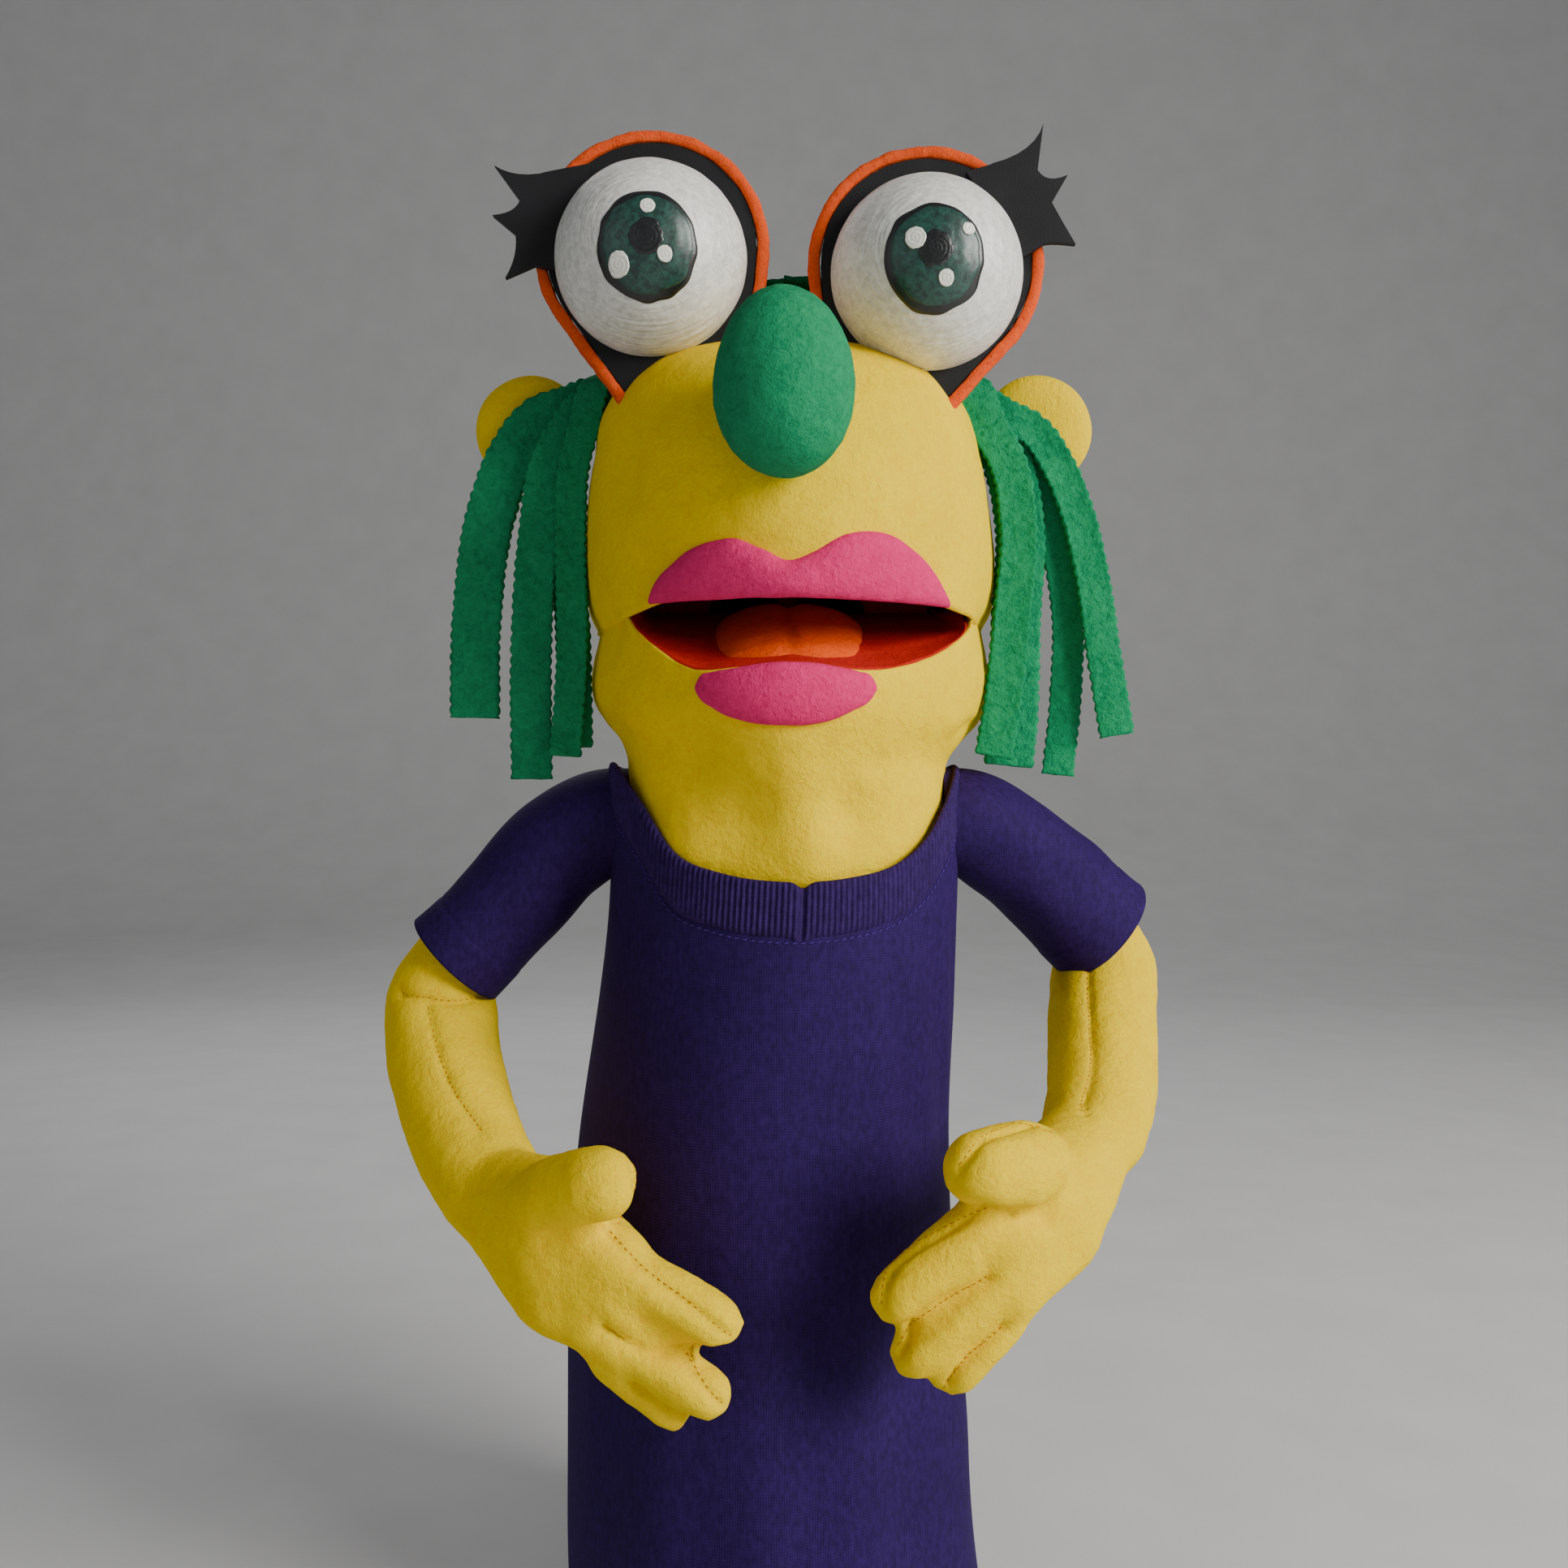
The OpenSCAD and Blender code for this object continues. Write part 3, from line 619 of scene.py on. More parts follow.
def fused(name, parts, material, voxel):
    verts, faces = [], []
    for v, f in parts:
        faces += [[i + len(verts) for i in q] for q in f]
        verts += [tuple(p) for p in v]
    obj = piece(name, verts, faces, material)
    bm = bmesh.new()
    bm.from_mesh(obj.data)
    bmesh.ops.recalc_face_normals(bm, faces=bm.faces)
    bm.to_mesh(obj.data)
    bm.free()
    mod = obj.modifiers.new("voxel", "REMESH")
    mod.mode, mod.voxel_size, mod.adaptivity = "VOXEL", voxel * MM, 0.0
    final(obj)
    return obj


def relax(obj, times, factor=0.5):
    mod = obj.modifiers.new("relax", "SMOOTH")
    mod.iterations, mod.factor = times, factor
    return final(obj)


def puffed(obj, pressure, cap):
    """Blows a closed fleece form up as stuffing does, and caps how far any point moves."""
    before = coords(obj)
    scene = bpy.context.scene
    mod = obj.modifiers.new("cloth", "CLOTH")
    cloth = mod.settings
    cloth.quality = 5
    cloth.mass = 0.15
    cloth.tension_stiffness = cloth.compression_stiffness = 12
    cloth.shear_stiffness = 5
    cloth.bending_stiffness = 0.4
    cloth.use_pressure = True
    cloth.uniform_pressure_force = pressure
    cloth.effector_weights.gravity = 0
    mod.point_cache.frame_start, mod.point_cache.frame_end = 1, 20
    for f in range(1, 21):
        scene.frame_set(f)
    final(obj)
    scene.frame_set(1)
    move = coords(obj) - before
    size = np.linalg.norm(move, axis=1, keepdims=True)
    return place(obj, before + move * np.minimum(1, cap / np.maximum(size, 1e-9)))


ARM = {
    "right": [(-82, 0.9, 249.5, 13, 13), (-96, 1.4, 236, 13.4, 13.2), (-107.6, 1.9, 225, 13.8, 13.4),
              (-114.2, 3, 211, 18.2, 17.4), (-113.6, -2, 196, 18.8, 18.2), (-107, -16, 180, 18.4, 17.8), (-98, -31, 166.5, 17.4, 17), (-88, -45, 156, 16, 16)],
    "left": [(82, 9.6, 253.5, 13, 13), (96, 16, 241, 13.4, 13.2), (106.6, 22.5, 231.5, 13.8, 13.4),
             (112.3, 27, 217, 18.2, 17.4), (110.5, 20, 203, 18.8, 18), (107.6, 5, 190, 18.6, 17.8), (103.5, -12, 179, 18, 17.2), (97, -30, 170, 16.4, 16.4)],
}
SPLIT = 5
SEAMS = {  # lines of (x, z) seen from the front, the depth of the narrow and of the broad groove, and whether it is sewn
    "right": [
        ([(-49, 156.6), (-39.4, 148.1), (-26, 139.1), (-14.5, 129.5)], 0.8, 0.8, True),
        ([(-28.7, 124.7), (-21.3, 115.7), (-16.5, 110)], 0.8, 0.7, True),
        ([(-47.1, 160.4), (-41.5, 163.3), (-39.8, 169.2), (-41, 176.5)], 0.8, 0.6, True),
        ([(-116, 209), (-112.5, 200.3), (-103.4, 186), (-92.5, 175.5)], 0.6, 0.6, True),
        ([(-126, 212.4), (-117.6, 211.6), (-106, 210.2), (-98, 211.2)], 1.0, 0.9, True),
        ([(-50, 131), (-40, 126.5), (-28.9, 124.4), (-16.9, 122)], 1.6, 1.6, False),
        ([(-42, 114), (-37.1, 110.4), (-30.4, 105), (-25.4, 102.8)], 1.4, 1.2, False),
        ([(-66, 155), (-56, 157), (-46, 160)], 0.6, 1.4, False),
    ],
    "left": [
        ([(46.8, 178), (52.4, 184.2), (64.2, 186.4), (76, 186.6)], 0.8, 0.7, True),
        ([(104.6, 221), (101.3, 203), (98, 191), (91, 181)], 0.8, 0.7, True),
        ([(56.3, 164.5), (45.3, 158.4), (35, 151.8), (27.6, 144.2), (26.6, 137.4)], 0.9, 0.9, True),
        ([(56.4, 145.4), (42.5, 137.5), (35.1, 131.6), (31.2, 125)], 1.4, 1.6, True),
        ([(60.8, 130.5), (48.8, 120.1), (44.6, 113.4)], 1.3, 1.4, True),
        ([(74, 160), (64, 161), (52, 166.5)], 0.6, 1.6, False),
    ],
}
for side, s in SIDES.items():
    path = np.array(ARM[side], float)
    parts = [closed_tube(path, 60, s)]
    parts.append(hull_of([(WRIST[side], 14.6)] + [(c, r - 0.6) for c, r in PALM[side]]))
    for a, b, r in DIGITS[side]:
        a, b = np.array(a, float), np.array(b, float)
        parts.append(closed_tube([(*a, r - 0.5, r - 0.5), (*((a + b) / 2), r - 0.3, r - 0.3), (*b, r - 0.7, r - 0.7)], 10, s, 24))
    arm = fused(f"arm_{side}", parts, YELLOW, 2.6)
    arm = relax(arm, 3)
    arm = puffed(arm, 4.0, 2.2)
    arm = subdivide(arm)
    co, no = coords(arm), normals(arm)
    tree = BVHTree.FromPolygons([tuple(p) for p in co], [tuple(f.vertices) for f in arm.data.polygons])

    def on_front(line, n=80):
        """A line of (x, z) laid on the front of the arm."""
        line = through([(x, 0, z) for x, z in line], n)
        spots, outs = [], []
        for x, _, z in line:
            spot, out = tree.ray_cast(Vector((x, -200, z)), Vector((0, 1, 0)))[:2]
            if spot is None:
                spot, out = tree.find_nearest(Vector((x, spots[-1][1] if spots else -60, z)))[:2]
            spots.append(tuple(spot))
            outs.append(tuple(out))
        return np.array(spots), np.array(outs)

    push, threads = np.zeros(len(co)), []
    for line, deep, broad, sewn in SEAMS[side]:
        pts, outs = on_front(line)
        near = np.sqrt(((co[:, None, :] - pts[None, ::2]) ** 2).sum(-1)).min(1)
        push += 1.5 * deep * np.exp(-((near / 1.1) ** 2)) + 1.2 * broad * np.exp(-((near / 3.8) ** 2))
        if sewn:
            threads.append(line)
    place(arm, co - no * np.clip(push, 0, 4.2)[:, None])
    uneven(arm, 0.4, 9, 21 + s)
    uneven(arm, 0.15, 3.5, 24 + s)
    co = coords(arm)
    tree = BVHTree.FromPolygons([tuple(p) for p in co], [tuple(f.vertices) for f in arm.data.polygons])
    sewing = []
    for k, line in enumerate(threads):
        pts, outs = on_front(line)
        on = "hand" if line[-1][1] < 172 or line[0][1] < 190 else "forearm"
        sewing.append((stitches(f"arm_stitch_{side}_{k}", pts - outs * 0.05, outs, YELLOW_THREAD, 2.1, 1.3, 0.3), on))
    # The arm is cut in two across the middle of the forearm
    cut_at, cut_dir = path[SPLIT, :3], unit(path[SPLIT + 1, :3] - path[SPLIT - 1, :3])
    bm = bmesh.new()
    bm.from_mesh(arm.data)
    centres = np.array([f.calc_center_median() for f in bm.faces]) / MM
    below = (centres - cut_at) @ cut_dir > 0
    bm.free()
    halves = []
    for name, keep in ((f"arm_{side}", ~below), (f"hand_{side}_fleece", below)):
        mesh = arm.data.copy()
        bm = bmesh.new()
        bm.from_mesh(mesh)
        bm.faces.ensure_lookup_table()
        bmesh.ops.delete(bm, geom=[bm.faces[i] for i in np.nonzero(~keep)[0]], context="FACES")
        bm.to_mesh(mesh)
        bm.free()
        half = bpy.data.objects.new(name + "_part", mesh)
        bpy.context.scene.collection.objects.link(half)
        halves.append(half)
    bpy.data.objects.remove(arm)
    halves[0].name, halves[1].name = f"arm_{side}", f"hand_fleece_{side}"
    elbow, wrist = np.array(ELBOW[side], float), np.array(WRIST[side], float)
    up = unit(np.array(SLEEVE[side][-1][:3]) - elbow)
    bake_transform(halves[0])
    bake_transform(halves[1])
    for seam, on in sewing:
        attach(seam, f"{on}_{side}")
    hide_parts(f"upper_arm_{side}", f"forearm_{side}")
    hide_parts(f"hand_{side}")

# ---------------------------------------------------------------- head

UPPER = smooth([  # height, half width own right, own left, front, back, centre, exponent
    (325, 66, 69, 70, 59, 14, 1.8), (341, 67.5, 71.5, 72, 62, 14, 1.8), (355, 68, 71.5, 76, 63, 13, 1.82),
    (372, 66.5, 69.5, 76, 64, 11, 1.88), (388, 64, 66.5, 71, 62, 8, 1.95), (402, 61, 62, 62, 57, 4, 2),
    (413, 54, 55, 50, 51, 3, 2), (424, 44, 44, 26, 41, 6, 2), (432, 32, 32, 10, 34, 11, 2),
    (437, 20, 20, -2, 27, 13, 2), (439.5, 9, 9, -8, 20, 14, 2), (440.3, 1, 1, -13.4, 14.6, 14, 2)])
LOWER = smooth([
    (238, 49, 49, 49.5, 49, 0, 2), (250, 52, 52, 53, 52, 0, 2), (262, 53.5, 53.5, 55, 54, 0, 2),
    (272, 52.6, 53.5, 57, 53.2, 0, 2), (282, 52, 53.5, 60.5, 52, 1, 2), (289, 52, 54.5, 63.5, 51, 2, 1.98),
    (295, 54.5, 59, 67, 51.5, 6, 1.92), (301, 60, 65, 69.5, 53, 10, 1.86), (308, 64.5, 68.5, 71, 54, 13, 1.82),
    (318, 66, 70, 71.5, 56, 14, 1.8), (330, 66.5, 71, 71.5, 59, 14, 1.8), (345, 64, 68, 71, 58, 14, 1.8)])
CORNER = {-1: -48.6, 1: 61.0}


def form_at(levels, deg, z, grow=0.0):
    deg, z = np.broadcast_arrays(np.asarray(deg, float), np.asarray(z, float))
    v = levels(z)
    a = np.radians(deg)
    sn, cs = np.sin(a), np.cos(a)
    p = np.where(cs > 0, 2 / v[..., 5], 1.0)
    w = np.where(sn < 0, v[..., 0], v[..., 1]) + grow
    reach = np.where(cs > 0, v[..., 2] + v[..., 4], v[..., 3] - v[..., 4]) + grow
    return np.stack([w * np.sign(sn) * np.abs(sn) ** p, v[..., 4] - reach * np.sign(cs) * np.abs(cs) ** p, z], -1)


def outward(levels, deg, z):
    e = 0.4
    du = form_at(levels, deg + e, z) - form_at(levels, deg - e, z)
    dv = form_at(levels, deg, z + e) - form_at(levels, deg, z - e)
    return unit(np.cross(du, dv))


def skin_rows(levels, deg, z, inset=0.0):
    base = form_at(levels, deg, z)
    return base - outward(levels, deg, z) * np.broadcast_to(inset, base.shape[:2])[..., None]


UPPER_EDGE = smooth([(-180, 331), (-100, 331), (-62, 331), (-48, 332.5), (-36, 335), (-20, 336.3), (0, 336.6), (20, 336.5),
                     (40, 336), (52, 334.5), (61, 333.3), (75, 332), (110, 331), (180, 331)])
LOWER_EDGE = smooth([(-180, 342), (-90, 342), (-66, 342), (-56, 337.5), (-48.6, 331.5), (-42, 325), (-34, 318.8), (-25, 314.4),
                     (-14, 314.4), (2, 315.2), (14, 314.6), (25, 314.2), (36, 317), (46, 321.6), (54, 327), (61, 332.6),
                     (68, 338), (78, 342), (110, 342), (180, 342)])

deg = np.linspace(-180, 180, 360, endpoint=False)
up = (np.linspace(0, 1, 120) ** 0.92)[:, None]
edge = UPPER_EDGE(deg)[None, :]
Z = edge + (440.3 - edge) * up
beyond = 1 - step(-60, -47, deg) * (1 - step(58, 72, deg))
pinch = (1.6 * np.exp(-((Z - edge) / 4.5) ** 2) + 1.6 * np.exp(-((Z - edge) / 10) ** 2)) * beyond
base = skin_rows(UPPER, deg[None, :], Z, pinch)
roll = [(4.2, 5.0), (4.0, 2.2), (3.0, 0.8), (1.6, 0.1), (0.5, 0.05)]
rolled = [skin_rows(UPPER, deg[None, :], edge + dz, inset - 1.6 * (1 - beyond) * (inset > 2) + pinch[:1] * (inset < 3))[0]
          for inset, dz in roll]
upper = grid("face_upper", np.concatenate([np.array(rolled), base[1:]]), YELLOW, wrap=True)
uneven(upper, 0.45, 22, 31)
uneven(upper, 0.18, 5, 32)
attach(upper, "head")
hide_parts("head_skin", "head_foam")

edge = LOWER_EDGE(deg)[None, :]
up = np.linspace(0, 1, 96)[:, None]
Z = 238 + (edge - 238) * up
open_front = step(-58, -46, deg) * (1 - step(56, 70, deg))
inset = (3.6 * step(314, 333, Z)) * (1 - open_front)[None, :]
base = skin_rows(LOWER, deg[None, :] + 0 * Z, Z, inset)
tuck = [skin_rows(LOWER, deg[None, :], edge - dz, inset[-1:] + i)[0] for i, dz in ((0.5, -0.15), (1.4, 0.2), (2.4, 1.2), (2.8, 4))]
lower = grid("face_lower", np.concatenate([base, np.array(tuck)]), YELLOW, wrap=True)
co = coords(lower)
dents = [((34, -46, 276), 12, 1.2), ((-30, -54, 284), 13, -3.4), ((0, -62, 284), 11, 1.6), ((50, -38, 300), 12, 2.2),
         ((-46, -38, 300), 11, 1.8), ((10, -57, 261), 12, 3.0), ((20, -58, 271), 8, -2.8), ((-13, -57, 270), 12, -2.8),
         ((-30, -44, 262), 10, 1.2)]
push = sum(h * np.exp(-((co - np.array(c)) ** 2).sum(1) / r**2) for c, r, h in dents)
for fold, depth, width in (([(64, -12, 298), (54, -36, 293), (42, -50, 287), (30, -57, 285)], 4.2, 3.6),
                           ([(-60, -14, 300), (-50, -32, 296), (-40, -45, 292)], 2.8, 3.6)):
    line = through(fold, 60)
    near = np.sqrt(((co[:, None, :] - line[None]) ** 2).sum(-1)).min(1)
    push = push - depth * np.exp(-((near / width) ** 2))
place(lower, co + normals(lower) * push[:, None])
uneven(lower, 0.6, 16, 33)
uneven(lower, 0.18, 5, 34)
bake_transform(lower)
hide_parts("jaw_skin", "jaw_foam", "neck_skin")

# Mouth linings run from the mouth's edges back to the hinge
mouth = np.linspace(-60, 72, 90)
beyond_corners = 1 - step(-56, -44, mouth) * (1 - step(54, 66, mouth))


def lining_rows(levels, edge, inset, hinge_z, sag):
    inset = (inset + 5 * beyond_corners)[None, :]
    front = skin_rows(levels, mouth[None, :], edge[None, :], inset)[0]
    back_x = np.clip(front[:, 0] * 1.0, -52, 52)
    t = np.linspace(0, 1, 40)[:, None, None]
    back = np.stack([back_x, HINGE[1] + 0 * back_x, hinge_z + 0 * back_x], -1)
    rows = front[None] * (1 - t) + back[None] * t
    rows[..., 2] += sag * np.sin(np.pi * t[..., 0])
    if levels is LOWER:
        board = HINGE[2] - (HINGE[1] - rows[..., 1]) * math.tan(math.radians(17.5)) - 0.4
        rows[..., 2] = np.where(rows[..., 1] > -66, np.maximum(rows[..., 2], board), rows[..., 2])
    else:
        rows[..., 2] = np.minimum(rows[..., 2], CEILING + 0.6)
    return rows


low = grid("mouth_lining_low", lining_rows(LOWER, LOWER_EDGE(mouth) + 0.5, 0.7, HINGE[2] + 0.4, 0.0), RED)
low = thicken(uneven(low, 0.35, 9, 41), 1.2, -1)
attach(low, "jaw")
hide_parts("mouth_lining_lower")
high = grid("mouth_lining_high", lining_rows(UPPER, UPPER_EDGE(mouth) + 1.4, 2.2, CEILING + 0.3, 1.5), RED, flip=True)
high = thicken(uneven(high, 0.35, 9, 42), 1.2, -1)
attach(high, "head")
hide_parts("mouth_lining_upper")

# ---------------------------------------------------------------- lips, tongue, nose, ears


def patch(name, levels, material, bottom, top, x0, x1, height, power=0.5):
    """A padded patch sewn on the face between two edges given as functions of x."""
    xs = x0 + (x1 - x0) * (0.5 - 0.5 * np.cos(np.linspace(0, np.pi, 90)))
    v = (0.5 - 0.5 * np.cos(np.linspace(0, np.pi, 28)))[:, None]
    lo, hi = bottom(xs)[None, :], top(xs)[None, :]
    z = lo + (hi - lo) * v
    probe = np.linspace(-85, 85, 1400)
    line = form_at(levels, probe[:, None], np.linspace(290, 360, 141)[None, :])
    zi = np.clip(np.round((z - 290) * 2).astype(int), 0, 140)
    d = np.empty_like(z)
    for i in range(z.shape[0]):
        for j in range(z.shape[1]):
            d[i, j] = np.interp(xs[j], line[:, zi[i, j], 0], probe)
    across = (xs - x0) / (x1 - x0)
    puff = height * (np.clip(4 * v * (1 - v), 0, 1) ** power) * (np.clip(4 * across * (1 - across), 0, 1) ** 0.35)[None, :]
    base, out = form_at(levels, d, z), outward(levels, d, z)
    front = base + out * (puff + 0.1)[..., None]
    back = base - out * 0.9
    m, n, _ = front.shape
    verts = np.concatenate([front.reshape(-1, 3), back.reshape(-1, 3)])
    faces = grid_faces(m, n).tolist() + grid_faces(m, n, False, m * n, True).tolist()
    loop = [(0, j) for j in range(n)] + [(i, n - 1) for i in range(1, m)]
    loop += [(m - 1, j) for j in range(n - 2, -1, -1)] + [(i, 0) for i in range(m - 2, 0, -1)]
    ids = [i * n + j for i, j in loop]
    faces += [[b, a, a + m * n, b + m * n] for a, b in zip(ids, ids[1:] + ids[:1])]
    return piece(name, verts, faces, material)


lip_top = smooth([(-41, 335.5), (-38, 341), (-32, 346.6), (-23, 350.6), (-14, 351.2), (-6, 348), (1, 345), (8, 347.2), (17, 352.4),
                  (26, 354.2), (36, 351.6), (44, 345.6), (49, 339), (51, 335.8)])
lip_low = smooth([(-41, 335.2), (-30, 334.8), (0, 334.6), (40, 334.8), (51, 335.2)])
lip_upper = patch("lip_high", UPPER, PINK, lip_low, lip_top, -40.5, 50.5, 4.2)
uneven(lip_upper, 0.3, 8, 51)
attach(lip_upper, "head")
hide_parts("lip_upper")
low_top = smooth([(-26, 309.5), (-24.4, 312.4), (-21, 313.6), (-12, 314.8), (2, 316.2), (14, 315.2), (22, 313.8),
                  (25.4, 312.4), (27, 309.5)])
low_low = smooth([(-26, 308.8), (-24.4, 306.2), (-20, 302.8), (-12, 299.6), (1, 298), (12, 299.2), (20, 302.6),
                  (25.4, 306.2), (27, 308.8)])
lip_lower = patch("lip_low", LOWER, PINK, low_low, low_top, -25.8, 26.8, 3.8, 0.42)
uneven(lip_lower, 0.3, 8, 52)
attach(lip_lower, "jaw")
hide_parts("lip_lower")

t_lo, t_hi = corners("tongue")
u = np.linspace(0, 2 * np.pi, 96, endpoint=False)
rows = []
for q in np.sin(np.linspace(-np.pi / 2, np.pi / 2, 60)) / 2 + 0.5:  # from the back of the tongue to its tip
    y = 4 - 66 * q
    ends = max(0.0, 1 - (2 * q - 1) ** 8) ** 0.5 * min(1.0, 0.35 + (1 - q) * 5) ** 0.5
    wide = 24.5 * ends * (1 - 0.3 * q**2)
    tall = (9.2 - 4.0 * q) * ends
    x = wide * np.cos(u)
    lift = np.where(np.sin(u) > 0, tall * np.abs(np.sin(u)) ** 1.1, 0.5 * np.sin(u))
    lift = lift - 1.7 * np.exp(-((x / 2.6) ** 2)) * (np.sin(u) > 0) * (1 - 0.6 * q)
    plane = HINGE[2] - (HINGE[1] - y) * math.tan(math.radians(17.5))
    rows.append(np.stack([1.5 + x, y + 0 * x, plane + lift + 0.5], -1))
tongue = grid("tongue_fleece", np.array(rows), ORANGE, wrap=True)
uneven(tongue, 0.4, 8, 53)
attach(tongue, "jaw")
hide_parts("tongue")

c, half = (NOSE_LO + NOSE_HI) / 2, (NOSE_HI - NOSE_LO) / 2
lat = np.linspace(-np.pi / 2 + 0.02, np.pi / 2 - 0.02, 72)[:, None]
lon = np.linspace(0, 2 * np.pi, 96, endpoint=False)[None, :]
egg = 1 - 0.07 * np.sin(lat) + 0.0 * lon
r = np.cos(lat) * egg
seat = np.where(np.cos(lon) < 0, half[1] + 6.5, half[1])
rows = np.stack([c[0] + half[0] * r * np.sin(lon), c[1] - seat * r * np.cos(lon),
                 c[2] + half[2] * np.sin(lat) + 0 * lon], -1)
nose = grid("nose_fleece", rows, GREEN_NOSE, wrap=True)
uneven(nose, 0.5, 13, 54)
uneven(nose, 0.22, 3.2, 55)
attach(nose, "head")
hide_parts("nose_cover")

for side, s in SIDES.items():
    centre = np.array([s * 86.0, 8.0, 401.0])
    lon = np.linspace(0, 2 * np.pi, 96, endpoint=False)[None, :]
    lat = np.linspace(-np.pi / 2 + 0.01, np.pi / 2 - 0.01, 40)[:, None]
    r = 18.7 * np.cos(lat) ** 0.75
    rows = np.stack([centre[0] + r * np.cos(lon), centre[1] + 6.6 * np.sin(lat) + 0 * lon,
                     centre[2] + r * np.sin(lon)], -1)
    ear = grid(f"ear_fleece_{side}", rows, YELLOW, wrap=True, flip=False)
    uneven(ear, 0.3, 14, 56 + s)
    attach(ear, "head")
    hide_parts(f"ear_{side}")

# ---------------------------------------------------------------- eyes


def on_eye(side, off_x, off_z, rho, phi, lift):
    """A point on the eye's ball near the spot whose front-view offset is (off_x, off_z)."""
    x, z = off_x + rho * np.cos(phi), off_z + rho * np.sin(phi)
    r = EYE_R + lift
    y = -np.sqrt(np.maximum(0.0, EYE_R**2 - x**2 - z**2))
    p = np.stack([x, y, z], -1)
    return EYE[side] + p * (r / EYE_R)[..., None]


def paint_disc(name, side, at, radii, lift, material, ragged=0.0, seed=0, inner=None):
    phi = np.linspace(0, 2 * np.pi, 96, endpoint=False)[None, :]
    q = np.r_[np.linspace(0.02, 0.93, 14), 0.965, 0.985, 1.0][:, None]
    wob = 1 + ragged * rough_field(np.stack([np.cos(phi) * 3, np.sin(phi) * 3, 0 * phi], -1), 1.1, seed).reshape(phi.shape)
    rho = q * wob * np.sqrt((radii[0] * np.cos(phi)) ** 2 + (radii[1] * np.sin(phi)) ** 2)
    edge = np.where(q > 0.95, -0.25 * (q - 0.95) / 0.05, 0.0) + 0 * phi
    swirl = 0.05 * np.sin(rho * 5.2 + phi)
    rows = on_eye(side, at[0], at[1], rho, phi + 0 * rho, np.maximum(lift + edge + swirl * (q < 0.95), -0.1))
    obj = grid(name, rows, material, wrap=True)
    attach(obj, "head")
    return obj


IRIS_AT = {"right": (1.2, -4.7), "left": (-0.1, -3.7)}
DOTS = {
    "right": [((0.3, 10.4), 2.2, 2.2), ((-8.2, -5.8), 3.1, 3.6), ((5.2, -3.0), 2.2, 2.3)],
    "left": [((-5.8, 4.6), 3.0, 3.2), ((9.6, 7.6), 1.9, 1.9), ((3.2, -6.4), 2.3, 2.3)],
}
for side, s in SIDES.items():
    q = np.linspace(0.004, 1, 150)[:, None] * (np.pi / 2)
    phi = np.linspace(0, 2 * np.pi, 180, endpoint=False)[None, :]
    ridge = np.stack([np.cos(phi) * 3 + 0 * q, np.sin(phi) * 3 + 0 * q, q * 26 + 0 * phi], -1)
    streak = (0.16 * rough_field(ridge, 0.9, 61 + s) + 0.1 * rough_field(ridge * (0.6, 0.6, 2.2), 0.8, 63 + s)).reshape(ridge.shape[:2])
    r = EYE_R - 0.1 + streak
    rows = np.stack([EYE[side][0] + r * np.sin(q) * np.cos(phi), EYE[side][1] - r * np.cos(q),
                     EYE[side][2] + r * np.sin(q) * np.sin(phi)], -1)
    dome = grid(f"eyeball_{side}", rows, WHITE, wrap=True, flip=False)
    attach(dome, "head")
    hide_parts(f"eye_{side}")
    ax, az = IRIS_AT[side]
    paint_disc(f"iris_ring_{side}", side, (ax, az), (14.6, 15.8), 0.28, RING, 0.05, 65 + s)
    paint_disc(f"iris_{side}", side, (ax + 0.2, az + 0.3), (13.3, 13.9), 0.46, IRIS, 0.06, 67 + s)
    paint_disc(f"pupil_{side}", side, (ax, az + 1.6), (5.0, 5.2), 0.66, PUPIL, 0.12, 69 + s)
    for k, ((dx, dz), rx, rz) in enumerate(DOTS[side]):
        paint_disc(f"glint_{side}_{k}", side, (ax + dx, az + dz), (rx, rz), 0.85, DOT, 0.06, 71 + k)


def plate_outline(side, grow, n=260):
    s = SIDES[side]
    a = np.linspace(0, 2 * np.pi, 3000, endpoint=False)
    d = np.stack([np.cos(a), np.sin(a)], -1)
    c1, c2 = np.array(PLATE[side]), np.array([s * TAIL[0], TAIL[1]])
    far = (d @ c1 + PLATE_R) > (d @ c2 + TAIL_R)
    p = np.where(far[:, None], c1 + d * (PLATE_R + grow), c2 + d * (TAIL_R + grow))
    loop = np.vstack([p, p[:1]])
    run = np.r_[0, np.cumsum(np.linalg.norm(np.diff(loop, axis=0), axis=1))]
    at = np.linspace(0, run[-1], n, endpoint=False)
    return np.stack([np.interp(at, run, loop[:, 0]), np.interp(at, run, loop[:, 1])], -1)


for side, s in SIDES.items():
    y_mid = corners(f"eye_rim_{side}")
    y0, y1 = y_mid[0][1], y_mid[1][1]
    section = [(0.1, 0.1), (0.0, 0.35), (0.0, 0.65), (0.1, 0.9), (0.3, 1.0), (0.75, 1.0), (0.95, 0.88), (1.0, 0.62),
               (1.0, 0.38), (0.95, 0.12), (0.75, 0.0), (0.3, 0.0)]
    rows = []
    for u, v in section:
        p = plate_outline(side, 0.1 + RIM_W * u, 300)
        rows.append(np.stack([p[:, 0], y0 + (y1 - y0) * v + 0 * p[:, 0], p[:, 1]], -1))
    rows.append(rows[0])
    rim = grid(f"rim_felt_{side}", np.array(rows)[::-1], FELT, wrap=True)
    uneven(rim, 0.45, 7, 81 + s)
    uneven(rim, 0.2, 2.0, 83 + s)
    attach(rim, "head")
    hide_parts(f"eye_rim_{side}")

